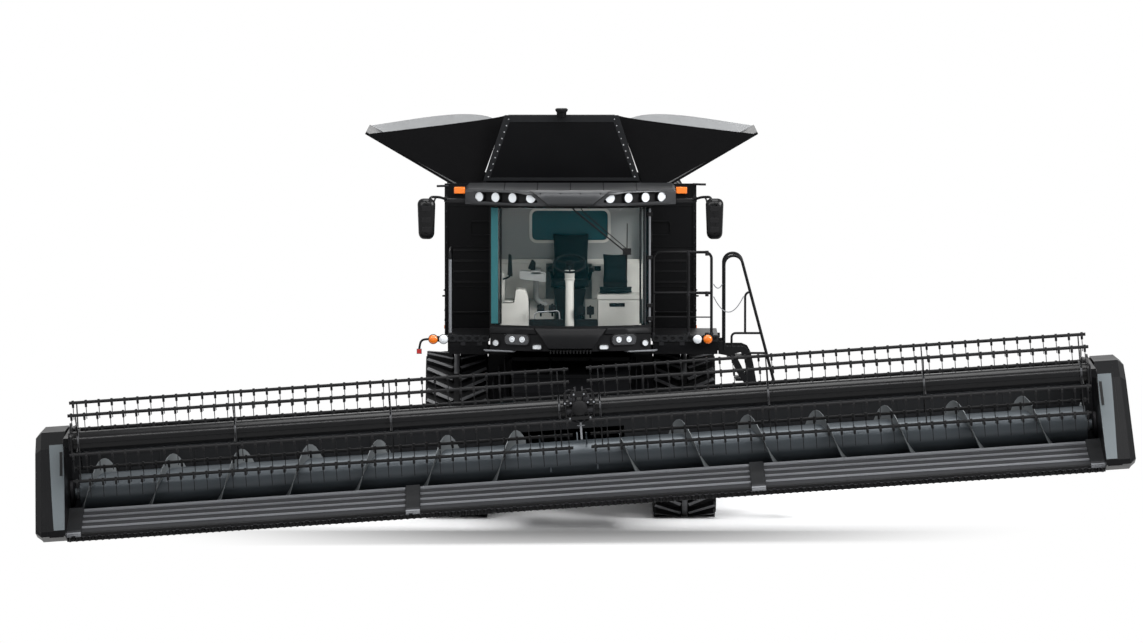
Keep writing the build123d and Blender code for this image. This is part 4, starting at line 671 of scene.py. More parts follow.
# ---------------------------------------------------------------- cab inside
def cab_inside():
    """Rear wall, shelf, floor, consoles, steering and pedals."""
    lining = Shape().use("trim_grey")
    outer = [(-0.88, 2.31), (0, 2.31), (0.88, 2.31), (0.88, 3.5), (0.88, 3.78), (0, 3.78), (-0.88, 3.78),
             (-0.88, 3.5)]
    inner = [(-0.47, 3.33), (0, 3.33), (0.455, 3.33), (0.455, 3.5), (0.455, 3.69), (0, 3.69), (-0.47, 3.69),
             (-0.47, 3.5)]
    lining.rings([[(x, y, z) for x, z in ring] for ring,
                  y in ((outer, -0.172), (outer, -0.182), (inner, -0.182),
                                                               (inner, -0.172))], caps=False)
    for side in SIDES:
        lining.sheet([[(side * 0.885, y, z) for y in (-0.3, -0.19)] for z in (2.31, 3.78)],
                     (-side * 0.01, 0, 0))
    lining.sheet([[(x, y, 3.79) for x in (-0.88, 0.88)] for y in (-1.35, -0.19)], (0, 0, -0.01))
    lining.use("beige_plastic")
    lining.ovals((-0.0075, 3.51), "y", [(y, 0.4625 + grow, 0.18 + grow, 0.06 + grow) for grow, y in
                                        ((0.035, -0.184), (0.035, -0.2), (0.0, -0.2), (0.0, -0.184))],
                 caps=False)
    lining.slab((-0.88, 0.88), (-0.26, -0.185), (3.05, 3.1))
    lining.slab((-0.88, -0.3), (-0.3, -0.19), (2.62, 3.05))
    lining.slab((0.26, 0.88), (-0.3, -0.19), (2.62, 3.05))
    lining.use("black_plastic")
    lining.slab((0.29, 0.37), (-0.31, -0.3), (2.96, 3.02))
    lining.slab((0.23, 0.28), (-0.31, -0.3), (2.97, 3.01))
    lining.done("cab_lining", "machine", 0.004, slot="beige_plastic")

    pane = Shape().use("rear_tint")
    pane.sheet([[(x, -0.165, z) for x in (-0.475, 0.46)] for z in (3.32, 3.7)], (0, 0.004, 0))
    pane.done("rear_pane", "machine", slot="glass")

    box = Shape().use("beige_plastic")
    box.soft_prism([(-0.845, 2.27), (-0.505, 2.27), (-0.51, 2.66), (-0.545, 2.78), (-0.66, 2.79),
                    (-0.68, 2.62), (-0.84, 2.62)], 0.03, (-1.1, -0.72), "y")
    box.soft_prism([(-0.86, 2.3), (-0.8, 2.3), (-0.8, 2.95), (-0.845, 3.0), (-0.86, 2.9)], 0.015,
                   (-0.9, -0.4), "y")
    box.soft_prism([(-0.80, 2.63), (-0.70, 2.63), (-0.70, 2.645), (-0.80, 2.645)], 0.006, (-1.112, -0.8), "y")
    box.soft_prism([(0.335, 2.27), (0.86, 2.27), (0.86, 2.69), (0.84, 2.71), (0.355, 2.71), (0.335, 2.69)],
                   0.03, (-0.92, -0.42), "y")
    box.soft_prism([(0.325, 2.655), (0.87, 2.655), (0.865, 2.712), (0.33, 2.712)], 0.012, (-0.935, -0.41),
                   "y")
    box.use("black_plastic")
    box.soft_prism([(0.47, 2.565), (0.66, 2.565), (0.66, 2.61), (0.47, 2.61)], 0.012, (-0.928, -0.9), "y")
    box.use("beige_plastic")
    box.slab((-0.5, -0.2), (-0.42, -0.32), (2.3, 2.62))
    box.slab((0.18, 0.33), (-0.42, -0.32), (2.3, 2.62))
    box.done("cab_boxes", "machine", 0.004, slot="beige_plastic")

    floor = Shape().use("black_plastic")
    floor.sheet([[(x, y, 2.266) for x in (-0.86, 0.86)] for y in (-1.38, -0.19)], (0, 0, 0.012))
    for x in spread(-0.48, 0.3, 10):
        floor.slab((x - 0.012, x + 0.012), (-1.4, -0.6), (2.277, 2.285))
    floor.soft_prism([(-0.5, 2.28), (-0.09, 2.28), (-0.09, 2.44), (-0.5, 2.44)], 0.02, (-1.35, -1.3), "y")
    floor.soft_prism([(0.07, 2.28), (0.33, 2.28), (0.33, 2.44), (0.07, 2.44)], 0.02, (-1.35, -1.3), "y")
    for x, z in ((-0.36, 2.56), (-0.22, 2.56), (0.13, 2.54), (0.24, 2.54)):
        floor.soft_prism([(x - 0.045, z - 0.05), (x + 0.045, z - 0.05), (x + 0.045, z + 0.05),
                          (x - 0.045, z + 0.05)], 0.015, (-1.26, -1.24), "y")
        floor.rod([(x, -1.24, z), (x, -1.16, z + 0.06), (x, -1.05, z - 0.1)], 0.012, 8, 0.03)
    floor.use("steel")
    floor.rod([(-0.44, -1.28, 2.3), (-0.43, -1.28, 2.52), (-0.14, -1.28, 2.54), (-0.12, -1.28, 2.3)], 0.009,
              8, 0.04)
    floor.done("cab_floor_and_pedals", "machine", 0.002, slot="black_plastic")

    column = Shape().use("beige_plastic")
    column.rod([(-0.012, -1.15, 2.28), (-0.012, -1.14, 2.5), (-0.01, -1.12, 2.86), (-0.01, -1.11, 2.92),
                (-0.01, -1.1, 3.02)],
               0.05, 18, radii=[0.056, 0.052, 0.05, 0.058, 0.062])
    column.turned([(0, 0.058), (0.012, 0.066), (0.024, 0.058)], (-0.01, -1.12, 2.9), (0, 0.05, 1), 18)
    column.use("black_plastic")
    ahead = Vector((0, -0.5, 0.86))
    centre = Vector((-0.01, -1.1, 3.1))
    column.turned([(-0.11, 0.035), (-0.03, 0.05), (0.0, 0.055), (0.018, 0.05), (0.024, 0.02)], centre, ahead,
                  18)
    side, up = Vector((1, 0, 0)), ahead.cross(Vector((1, 0, 0)))
    rings = []
    for turn in turns(40):
        out = side * math.cos(turn) + up * math.sin(turn)
        rings.append([tuple(centre + out * (0.19 + 0.015 * math.cos(s)) + ahead * (0.015 * math.sin(s)))
                      for s in turns(10)])
    column.use("dark_grey_paint")
    column.rings(rings + rings[:1], caps=False)
    for turn in (20, 160, 270):
        out = side * math.cos(math.radians(turn)) + up * math.sin(math.radians(turn))
        column.rod([tuple(centre + out * 0.03), tuple(centre + out * 0.185)], 0.012, 8)
    column.rod([(0.03, -1.1, 3.0), (0.14, -1.13, 3.05), (0.17, -1.13, 3.06)], 0.007, 6, 0.03)
    column.done("steering", "machine", 0.0015, stands_for=("cab_controls",), slot="black_plastic")

    arm = Shape().use("trim_grey")
    arm.soft_prism([(-0.9, 2.94), (-0.42, 2.9), (-0.36, 2.93), (-0.36, 2.99), (-0.42, 3.01), (-0.9, 3.0)],
                   0.02, (-0.48, -0.36), "x")
    arm.soft_prism([(-0.62, 2.9), (-0.3, 2.86), (-0.3, 2.98), (-0.62, 3.0)], 0.02, (-0.9, -0.72), "y")
    arm.rod([(-0.42, -0.5, 2.9), (-0.42, -0.5, 2.62), (-0.3, -0.5, 2.55)], 0.035, 10, 0.05)
    arm.use("black_plastic")
    arm.soft_prism([(-0.765, 2.96), (-0.7, 2.94), (-0.715, 3.2), (-0.75, 3.22)], 0.012, (-1.08, -1.05), "y")
    arm.rod([(-0.73, -1.05, 3.0), (-0.74, -0.98, 2.93), (-0.82, -0.95, 2.9)], 0.012, 8, 0.03)
    arm.soft_prism([(-0.52, 3.02), (-0.43, 3.0), (-0.42, 3.1), (-0.47, 3.14)], 0.02, (-0.86, -0.8), "y")
    arm.rod([(-0.47, -0.83, 2.98), (-0.47, -0.85, 3.06)], 0.016, 10)
    arm.done("armrest_and_screen", "machine", 0.003, slot="black_plastic")


def pad(name, half, centre, tilt=0.0, crown=0.02, pinch=0.03, channels=0, stands_for=()):
    """A crowned cushion: full in the middle, drawn in at its sides, with sewn channels across it."""
    half_x, half_y, half_z = half
    steps = 15
    mesh = bmesh.new()
    lean = Matrix.Rotation(math.radians(tilt), 3, "X")
    grids = []
    for face in (-1, 1):
        rows = []
        for i in range(steps):
            row = []
            for j in range(steps):
                u, v = -1 + 2 * i / (steps - 1), -1 + 2 * j / (steps - 1)
                waist_u = 1 - pinch / half_x * (1 - v * v) * 0.4
                waist_v = 1 - pinch / half_z * (1 - u * u) * 0.4
                edge = (1 - abs(u) ** 4) * (1 - abs(v) ** 4)
                swell = face * (half_y * (0.35 + 0.65 * edge ** 0.45) + crown * (1 - u * u) * (1 - v * v))
                if channels:
                    nearest = min(abs(v - (-1 + 2 * (k + 1) / (channels + 1))) for k in range(channels))
                    swell -= face * 0.01 * max(0, 1 - nearest / 0.09) * edge
                point = lean @ Vector((u * half_x * waist_u, swell, v * half_z * waist_v))
                row.append(mesh.verts.new(M(*(Vector(centre) + point))))
            rows.append(row)
        grids.append(rows)
        for i in range(steps - 1):
            for j in range(steps - 1):
                mesh.faces.new((rows[i][j], rows[i + 1][j], rows[i + 1][j + 1], rows[i][j + 1]))
    border = ([(i, 0) for i in range(steps - 1)] + [(steps - 1, j) for j in range(steps - 1)]
              + [(i, steps - 1) for i in range(steps - 1, 0, -1)] + [(0, j) for j in range(steps - 1, 0, -1)])
    for k, (i, j) in enumerate(border):
        m, n = border[(k + 1) % len(border)]
        mesh.faces.new((grids[0][i][j], grids[0][m][n], grids[1][m][n], grids[1][i][j]))
    bmesh.ops.recalc_face_normals(mesh, faces=mesh.faces[:])
    for face in mesh.faces:
        face.smooth = True
    obj = new_object(mesh, name, ["seat_fabric"])
    modifier = obj.modifiers.new("soft", "SUBSURF")
    modifier.levels = modifier.render_levels = 1
    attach(obj, "machine")
    if stands_for:
        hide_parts(*stands_for)


def seats():
    """The driver's seat and the trainer's seat."""
    pad("driver_back", (0.222, 0.055, 0.3), (0.005, -0.29, 3.12), -6, 0.02, 0.05, 2,
        stands_for=("cab_seats",))
    pad("driver_cushion", (0.235, 0.19, 0.055), (-0.01, -0.5, 2.83), 0, 0.0, 0.02, 0)
    pad("trainer_back", (0.152, 0.045, 0.18), (0.545, -0.47, 3.0), -4, 0.012, 0.03, 1)
    pad("trainer_cushion", (0.2, 0.19, 0.035), (0.55, -0.66, 2.755), 0, 0.0, 0.02, 0)
    base = Shape().use("black_plastic")
    base.soft_prism([(-0.2, 2.3), (0.18, 2.3), (0.14, 2.5), (0.19, 2.77), (-0.21, 2.77), (-0.16, 2.5)], 0.03,
                    (-0.62, -0.36), "y")
    for x in spread(-0.13, 0.11, 2):
        base.rod([(x, -0.25, 3.3), (x, -0.22, 2.9), (x, -0.3, 2.78)], 0.014, 8, 0.04)
    for side in SIDES:
        base.soft_prism([(-0.66, 2.97), (-0.3, 2.98), (-0.28, 3.02), (-0.66, 3.02)], 0.015,
                        (0.005 + side * 0.25 - 0.03, 0.005 + side * 0.25 + 0.03), "x")
        base.rod([(0.005 + side * 0.25, -0.33, 2.99), (0.005 + side * 0.22, -0.27, 2.85)], 0.02, 8)
    base.slab((0.4, 0.69), (-0.5, -0.42), (2.712, 2.86))
    base.done("seat_frames", "machine", 0.004, slot="black_plastic")


# ---------------------------------------------------------------- body, rails and lamps outside
RAIL_Y = -1.24


def front_wall():
    """Bars, frames and bolts on the tank's front wall, and the punched platform edges."""
    shape = Shape().use("black_paint")
    for side in SIDES:
        shape.ovals((side * 1.095, 3.445), "y", [(y, 0.125 + grow, 0.08 + grow, 0.03 + grow) for grow, y in
                                                 ((0.012, 0.3), (0.012, 0.292), (0.0, 0.292), (0.0, 0.3))],
                    caps=False)
        for z in (2.79, 2.92, 3.05, 3.18):
            shape.prism([(0.3, z + 0.012), (0.294, z - 0.016), (0.296, z - 0.02), (0.3, z - 0.004)],
                        (side * 0.99, side * 1.44), "x")
        shape.rod([(side * 1.0, 0.27, 2.415), (side * 1.5, 0.27, 2.415)], 0.01, 8)
        shape.slab((side * 1.5, side * 1.545), (0.285, 0.3), (2.15, 3.92))
        for z in (2.5, 3.0, 3.5):
            shape.slab((side * 0.99, side * 1.5), (0.293, 0.3), (z + 0.22, z + 0.226))
    shape.use("cast")
    bolts(shape, [(side * 1.522, 0.285, z) for side in SIDES for z in spread(2.3, 3.85, 9)])
    shape.rod([(-1.5, 0.26, 3.97), (-1.62, 0.2, 3.97), (-1.64, 0.2, 3.97)], 0.014, 8, 0.03)
    shape.rod([(1.5, 0.26, 3.99), (1.62, 0.2, 3.99), (1.66, 0.2, 3.99)], 0.014, 8, 0.03)
    shape.done("front_wall_trim", "machine", 0.002, slot="satin_black")

    edge = Shape().use("dark_grey_paint")
    for x0, x1 in ((-1.48, -0.985), (0.985, 1.79)):
        count = int((x1 - x0) / 0.095)
        pitch = (x1 - x0) / count
        y, z0, z1 = -1.292, 2.165, 2.245
        for k in range(count):
            cx = x0 + (k + 0.5) * pitch
            ring_in = [(cx + 0.026 * math.cos(t), y, (z0 + z1) / 2 + 0.022 * math.sin(t))
                       for t in (math.pi / 4 + 2 * math.pi * j / 16 for j in range(16))]
            ring_out = []
            for j in range(16):
                t = math.pi / 4 + 2 * math.pi * j / 16
                ux, uz = math.cos(t), math.sin(t)
                s = min(pitch / 2 / abs(ux) if abs(ux) > 1e-6 else 9, (z1 - z0) / 2 / abs(uz)
                        if abs(uz) > 1e-6 else 9)
                ring_out.append((cx + ux * s, y, (z0 + z1) / 2 + uz * s))
            back = [(x, y + 0.008, z) for x, _, z in ring_out]
            back_in = [(x, y + 0.008, z) for x, _, z in ring_in]
            edge.rings([back, ring_out, ring_in, back_in], caps=False)
    edge.use("cast")
    for x in (-1.3, -1.1, 1.1, 1.35, 1.6):
        edge.slab((x - 0.03, x + 0.03), (-1.284, -1.2), (2.12, 2.168))
    edge.done("platform_edges", "machine", 0.001, slot="satin_black")


def rail_feet():
    """Feet and clamps of the guard rails, and a light grey skin over one upright that paints its highlight."""
    shape = Shape().use("cast")
    for x, y in ((1.0, RAIL_Y), (1.425, RAIL_Y), (1.65, RAIL_Y), (1.705, RAIL_Y), (-1.455, RAIL_Y),
                 (-1.455, -0.3)):
        shape.ovals((x, y), "z", [(z, 0.036, 0.032, 0.01) for z in (2.2255, 2.238)])
        shape.turned([(0, 0.026), (0.03, 0.026), (0.036, 0.02)], (x, y, 2.238), (0, 0, 1), 12)
    # a light grey skin just over the CAD rail's upright: a painted highlight along it
    shape.use("slat")
    shape.rod([(-1.455, RAIL_Y, 2.26), (-1.455, RAIL_Y, 3.16)], 0.0185, 14)
    shape.use("cast")
    for x, z in ((1.425, 3.247), (1.425, 2.754), (1.65, 2.754), (1.65, 3.247)):
        shape.turned([(-0.03, 0.022), (0.03, 0.022)], (x, RAIL_Y, z - 0.012), (0, 0, 1), 12)
    shape.done("rail_feet", "machine", 0.002, slot="satin_black")


def signal_lamps():
    """The signal lamps on the platforms' front edge and the markers beside the roof."""
    shape = Shape().use("black_plastic")
    for side in SIDES:
        shape.slab((side * 1.46, side * 1.7), (-1.3, -1.288), (2.165, 2.235))
        for x in (1.535, 1.66):
            shape.turned([(-0.03, 0.03), (-0.022, 0.05), (0.012, 0.06), (0.03, 0.06), (0.034, 0.0535)],
                         (side * x, -1.32, 2.2), (0, -1, 0), 24)
        shape.slab((side * 1.285, side * 1.437), (0.262, 0.298), (3.866, 3.964))
    shape.rod([(-1.69, -1.295, 2.2), (-1.81, -1.295, 2.19), (-1.83, -1.295, 2.08)], 0.014, 8, 0.06)
    shape.slab((-1.86, -1.8), (-1.32, -1.28), (2.02, 2.08))
    shape.use("red_plastic")
    shape.slab((-1.856, -1.804), (-1.328, -1.318), (2.025, 2.075))
    for finish, x in (("lamp_lens", 1.535), ("amber_plastic", 1.66)):
        shape.use(finish)
        for side in SIDES:
            shape.turned([(0.0, 0.0545), (0.022, 0.053), (0.034, 0.042), (0.04, 0.01)],
                         (side * x, -1.343, 2.2),
                         (0, -1, 0), 24)
    for side in SIDES:
        shape.ovals((side * 1.361, 3.915), "y", [(y, 0.068 * shrink, 0.042 * shrink, 0.014)
                                                 for y, shrink in ((0.264, 1), (0.24, 1), (0.228, 0.85))])
    shape.done("signal_lamp_set", "machine", 0.002, stands_for=("signal_lamps",), slot="amber_plastic")


def mirror_outline(side, y, shrink):
    """The mirror head's outline, narrower toward its foot."""
    points = []
    for px, pz in oblong(0.108 - shrink, 0.246 - shrink, 0.07):
        taper = 1 - 0.16 * max(0, -pz / 0.246)
        points.append((side * (1.735 + px * taper), y, 3.675 + pz))
    return points


def mirrors():
    """Rounded mirror heads on bent arms, their glasses facing back."""
    shape = Shape().use("gloss_black")
    for side in SIDES:
        shape.rings([mirror_outline(side, y, shrink) for y, shrink in
                     ((-1.712, 0.07), (-1.706, 0.045), (-1.69, 0.016), (-1.672, 0.004), (-1.645, 0.0),
                      (-1.636, 0.006), (-1.64, 0.012))])
        shape.rod([(side * 1.3, -1.465, 3.89), (side * 1.5, -1.47, 3.9), (side * 1.58, -1.6, 3.935),
                   (side * 1.69, -1.68, 3.94), (side * 1.7, -1.685, 3.86)],
                  0.016, 10, 0.06)
        shape.rod([(side * 1.62, -1.63, 3.93), (side * 1.64, -1.68, 3.9), (side * 1.645, -1.685, 3.8)], 0.011,
                  8, 0.03)
    shape.use("black_plastic")
    for side in SIDES:
        shape.slab((side * 1.272, side * 1.51), (-1.485, -1.445), (3.862, 3.905))
        shape.turned([(-0.03, 0.026), (0.03, 0.026)], (side * 1.5, -1.468, 3.9), (0, 0, 1), 12)
        for z in (3.55, 3.66, 3.8):
            shape.ovals((side * 1.735, z), "y", [(y, 0.055, 0.03, 0.01) for y in (-1.7135, -1.709)])
    shape.use("mirror_glass")
    for side in SIDES:
        shape.rings([mirror_outline(side, y, 0.018) for y in (-1.6415, -1.637)])
    shape.done("mirror_heads", "machine", 0.0015, stands_for=("mirrors",), slot="black_plastic")


# ---------------------------------------------------------------- tank covers
TANK_X = -0.11


def cover_trim():
    """Stiffening bands and bolts on the tank's front cover, with the beacon's foot."""
    lean = math.radians(8)
    hinge = (0.47, 4.027)
    outward = 0.035

    def on_front(x, along, proud=0.0):
        out = outward + proud
        return (TANK_X + x, hinge[0] - along * math.sin(lean) - out * math.cos(lean), hinge[1]
                + along * math.cos(lean) - out * math.sin(lean))

    length, base, top = 0.822, 0.937, 0.652

    def half_width(along):
        return base + (top - base) * along / length

    shape = Shape().use("dark_grey_paint")
    for first, last in ((0.735, 0.818), (0.0, 0.04)):
        rows = []
        for along in (first, last):
            half = half_width(along)
            rows.append([on_front(x, along, 0.006) for x in spread(-half, half, 7)])
        shape.sheet(rows, (0, 0.006, 0))
    for side in SIDES:
        rows = []
        for along in spread(0, length, 5):
            half = half_width(along)
            rows.append([on_front(side * (half + d), along, 0.005)
                         for d in (-0.045, 0.0, 0.028 + 0.018 * along / length)])
        shape.sheet(rows, (0, 0.006, 0))
    shape.use("steel")
    for side in SIDES:
        bolts(shape,
              [on_front(side * (half_width(along) - 0.022), along, 0.006)
               for along in spread(0.05, 0.77, 10)],
              0.008, 0.005)
    shape.use("black_plastic")
    low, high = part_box("cover_front")
    beacon_y = low[1] + 0.06 - Y0
    shape.turned([(-0.05, 0.062), (-0.03, 0.075), (-0.012, 0.078), (-0.002, 0.066)],
                 (TANK_X, beacon_y, high[2]), (0, 0, 1), 24)
    shape.done("front_cover_trim", "cover_front", 0.0015, slot="black_paint")


# x and z, counted from the tank's middle, of the rim's inner end, the side cover's hinge and its tip
RIM = (0.985, 4.003)
SIDE_HINGE = (1.315, 4.003)
COVER_TIP = (2.4, 4.592)


def corner_sheets():
    """Cloth between the end covers and the side covers: black in front, pale and arched at the rear."""
    for name, finish, y, top, arch in (("front", "cover_fabric", 0.508, (0.69, 4.822), -0.015),
                                       ("rear", "pale_fabric", 2.777, (0.77, 4.606), 0.135)):
        for side, hand in ((1, "left"), (-1, "right")):
            shape = Shape().use(finish)
            rows = []
            for v in spread(0, 1, 13):
                inner = (RIM[0] + (top[0] - RIM[0]) * v, RIM[1] + (top[1] - RIM[1]) * v)
                outer = (SIDE_HINGE[0] + (COVER_TIP[0] - SIDE_HINGE[0]) * v, SIDE_HINGE[1]
                         + (COVER_TIP[1] - SIDE_HINGE[1]) * v)
                row = []
                for u in spread(0, 1, 21):
                    ripple = 0.004 * math.sin(7 * u + 4 * v) * math.sin(math.pi * u)
                    row.append((TANK_X + side * (inner[0] + (outer[0] - inner[0]) * u), y + ripple,
                                inner[1] + (outer[1] - inner[1]) * u
                                + arch * math.sin(math.pi * u ** 0.55) * v ** 3))
                rows.append(row)
            shape.sheet(rows, (0, 0.003, 0))
            cloth = shape.done(f"corner_cloth_{name}_{hand}", "machine", stands_for=("corner_sheets",)
                               if (name, hand) == ("front", "left") else (),
                               slot="cover_fabric")
            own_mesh(cloth)


# ---------------------------------------------------------------- tracks
TRACK_X = 1.385
# y and z of the drive wheel and the two idlers, and the belt's radius round them
TRACK_WHEELS = ((0, 1.35), (-0.8, 0.49), (0.8, 0.49))
TRACK_RADII = (0.51, 0.4, 0.4)
HULL_STEPS = 180
# only what lies this far outside the belt's band is a bar's face, or near the middle a rib's
BAR_OUT = 0.079
RIB_OUT = 0.08
RIB_HALF = 0.04
# how far the lighter caps, painted light on the bars' tops, stand out from the bars' faces
LIT_CAP_PROUD = 0.0025


def lug_faces():
    """Lighter faces on the tracks' bars and centre ribs: painted light on their tops, against the shade of the
    belt between them.
    """
    loop = [(*wheel, radius) for wheel, radius in zip(TRACK_WHEELS, TRACK_RADII)]
    for hand in ("left", "right"):
        node = NODES[f"track_belt_{hand}"]
        mesh = bmesh.new()
        mesh.from_mesh(node.data)
        mesh.transform(node.matrix_world)
        drop = []
        for face in mesh.faces:
            at = face.calc_center_median()
            y, z = at.y - Y0, at.z
            out = hull_distance(y, z, loop)
            across = abs(abs(at.x - X0) - TRACK_X)
            if out < BAR_OUT or abs(face.normal.x) > 0.5 or (across < RIB_HALF and out < RIB_OUT):
                drop.append(face)
        bmesh.ops.delete(mesh, geom=drop, context="FACES")
        made = bmesh.ops.extrude_face_region(mesh, geom=mesh.faces[:])
        for vert in [item for item in made["geom"] if isinstance(item, bmesh.types.BMVert)]:
            normal = sum((face.normal for face in vert.link_faces if face.calc_area() > 1e-5), Vector())
            if normal.length > 0:
                vert.co += normal.normalized() * LIT_CAP_PROUD
            vert.co.z = max(vert.co.z, 0)
        obj = new_object(mesh, f"lug_faces_{hand}", ["lug_face"])
        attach(obj, "machine")


def hull_distance(y, z, circles):
    """How far a point lies outside the band stretched round the circles."""
    best = -math.inf
    for turn in turns(HULL_STEPS):
        support = max(cy * math.cos(turn) + cz * math.sin(turn) + r for cy, cz, r in circles)
        best = max(best, y * math.cos(turn) + z * math.sin(turn) - support)
    return best


# ---------------------------------------------------------------- header
DECK_REAR = (-0.45, -0.167)
DECK_FRONT = (-1.33, -0.363)
DIVIDER_W = 0.162
DIVIDERS = (-HEADER_HALF + 0.082, -HEADER_HALF / 3, HEADER_HALF / 3, HEADER_HALF - 0.082)
deck_length = math.hypot(DECK_REAR[0] - DECK_FRONT[0], DECK_REAR[1] - DECK_FRONT[1])
deck_down = ((DECK_FRONT[0] - DECK_REAR[0]) / deck_length, (DECK_FRONT[1] - DECK_REAR[1]) / deck_length)
deck_up = (deck_down[1], -deck_down[0])


def on_deck(x, along, proud):
    """A point on the header's deck, along metres from its rear edge."""
    return (x, DECK_REAR[0] + deck_down[0] * along + deck_up[0] * proud, DECK_REAR[1] + deck_down[1] * along
            + deck_up[1] * proud)


def belts():
    """Ribbed belts between the dividers, with slats that run along the knife."""
    shape = Shape(H).use("belt")
    edges = [(DIVIDERS[k] + DIVIDER_W / 2 + 0.008, DIVIDERS[k + 1] - DIVIDER_W / 2 - 0.008) for k in range(3)]
    for x0, x1 in edges:
        shape.sheet([[on_deck(x, along, 0.004) for x in spread(x0, x1, 2)]
                     for along in spread(0.02, deck_length - 0.06, 2)],
                    (0, 0, -0.002))
        count = round((x1 - x0) / 1.0)
        for k in range(1, count):
            x = x0 + (x1 - x0) * k / count
            shape.sheet([[on_deck(x + dx, along, 0.0065) for dx in (-0.012, 0.012)]
                         for along in (0.02, deck_length - 0.06)],
                        (0, 0, -0.002))
    shape.use("slat")
    for x0, x1 in edges:
        for along in (0.06, 0.27, 0.48, 0.69):
            shape.rings([[on_deck(x, along + da, dz) for da,
                          dz in ((-0.013, 0.004), (-0.009, 0.024), (0.009, 0.024), (0.013, 0.004))]
                         for x in (x0, x1)])
        shape.rings([[on_deck(x, da, dz) for da,
                      dz in ((0.0, 0.006), (0.002, 0.02), (0.018, 0.02), (0.02, 0.006))] for x in (x0, x1)])
    shape.use("black_plastic")
    shape.rings([[(x, DECK_FRONT[0] - y, DECK_FRONT[1] + z) for y,
                  z in ((-0.055, 0.016), (0.002, 0.004), (0.004, -0.078), (0.0, -0.082),
                                                                         (0.0, 0.0), (-0.055, 0.011))]
                 for x in (-HEADER_HALF + 0.01, HEADER_HALF - 0.01)])
    shape.done("belts", "header", 0.002, slot="dark_grey_paint")

    caps = Shape(H).use("dark_grey_paint")
    for x in DIVIDERS:
        caps.prism([(-1.328, -0.372), (-1.262, -0.318), (-0.44, -0.128), (-0.44, -0.138), (-1.265, -0.328),
                    (-1.322, -0.378)],
                   (x - DIVIDER_W / 2 - 0.003, x + DIVIDER_W / 2 + 0.003), "x")
        caps.use("slat")
        caps.prism([(-1.338, -0.43), (-1.336, -0.365), (-1.3, -0.34), (-1.302, -0.35), (-1.33, -0.372),
                    (-1.332, -0.43)],
                   (x - DIVIDER_W / 2 - 0.002, x + DIVIDER_W / 2 + 0.002), "x")
        caps.use("dark_grey_paint")
    caps.done("divider_caps", "header", 0.002, slot="dark_grey_paint")


KNIFE_PITCH = 0.0762


def knife():
    """Knife sections over the guards, and hold-down clips."""
    shape = Shape(H).use("dark_steel")
    teeth = round(2 * (HEADER_HALF - 0.02) / KNIFE_PITCH)
    start = -teeth * KNIFE_PITCH / 2
    front, top = DECK_FRONT[0], DECK_FRONT[1] - 0.029
    for tooth in range(teeth):
        x = start + (tooth + 0.5) * KNIFE_PITCH
        shape.rings([[(x + dx, front - ahead, z) for dx,
                      ahead in ((-0.034, 0.03), (0.034, 0.03), (0.006, 0.1), (-0.006, 0.1))]
                     for z in (top, top + 0.003)])
    shape.use("cast")
    for tooth in range(0, teeth, 4):
        x = start + (tooth + 1) * KNIFE_PITCH
        shape.slab((x - 0.02, x + 0.02), (front - 0.06, front - 0.006), (top + 0.004, top + 0.014))
    shape.done("knife_sections", "header", slot="steel")


def header_ends():
    """Bolts, edge plates and bearing caps at the header's ends."""
    shape = Shape(H).use("black_plastic")
    for side in SIDES:
        x = side * (HEADER_HALF + 0.206)
        shape.prism([(-1.6, -0.36), (-1.56, -0.3), (-1.25, 0.04), (-1.24, -0.3)],
                    (x - side * 0.19, x - side * 0.02), "x")
        shape.turned([(0, 0.03), (0.02, 0.03), (0.026, 0.02)], (side * (HEADER_HALF + 0.1), -1.566, -0.31),
                     (0, -1, 0.3), 6)
    shape.use("end_grey")
    slope = ((-1.6, -0.287), (-1.25, 0.04), (-0.64, 0.6), (-0.3, 0.775))
    for side in SIDES:
        rows = []
        for z, first, last in ((-0.28, 0.004, 0.13), (-0.2, 0.002, 0.135), (0.04, 0.002, 0.15),
                               (0.33, 0.004, 0.165), (0.6, 0.012, 0.178), (0.64, 0.02, 0.18)):
            for (y0, z0), (y1, z1) in zip(slope, slope[1:]):
                if z0 <= z <= z1:
                    y = y0 + (y1 - y0) * (z - z0) / (z1 - z0)
            rows.append([(side * (HEADER_HALF + x), y - 0.006, z + 0.004) for x in (first, last)])
        shape.sheet(rows, (0, 0.004, -0.002))
    # a flat black strip on the end panel where its slot shows dark: painted shade of the slot's opening
    shape.use("black_plastic")
    for side in SIDES:
        shape.sheet([[(side * (HEADER_HALF + x), -1.25 + (z - 0.04) * 0.61 / 0.56 - 0.009, z + 0.006)
                      for x in (0.022, 0.055)] for z in (0.3, 0.56)],
                    (0, 0.002, 0))
    shape.use("cast")
    for side in SIDES:
        x = side * (HEADER_HALF - 0.004)
        shape.turned([(0, 0.16), (0.03, 0.16), (0.05, 0.1), (0.05, 0.072)], (x, 0, 0), (-side, 0, 0), 24)
    shape.done("header_end_trim", "header", 0.003, slot="black_plastic")


def back_sheet():
    """Seams and ribs on the header's back sheet and its top beam."""
    shape = Shape(H).use("dark_grey_paint")
    for k in range(-14, 15):
        x = k * 0.42
        if -0.76 < x < 0.53:
            continue
        shape.slab((x - 0.006, x + 0.006), (0.4945, 0.5), (-0.25, 0.42))
    shape.rod([(-HEADER_HALF + 0.02, 0.492, 0.6), (HEADER_HALF - 0.02, 0.492, 0.6)], 0.012, 8)
    shape.slab((-HEADER_HALF + 0.02, HEADER_HALF - 0.02), (0.47, 0.5), (0.44, 0.455))
    shape.use("cast")
    bolts(shape, [(k * 0.84, 0.5, 0.53) for k in range(-7, 8)], 0.014, 0.012)
    shape.done("back_sheet_trim", "header", 0.002, slot="dark_grey_paint")


FEED_X = -0.115
FLIGHT_PITCH = 0.8165
# side, where along the auger one turn stands at the top
FLIGHT_TOPS = ((-1, -0.788), (1, 0.348))


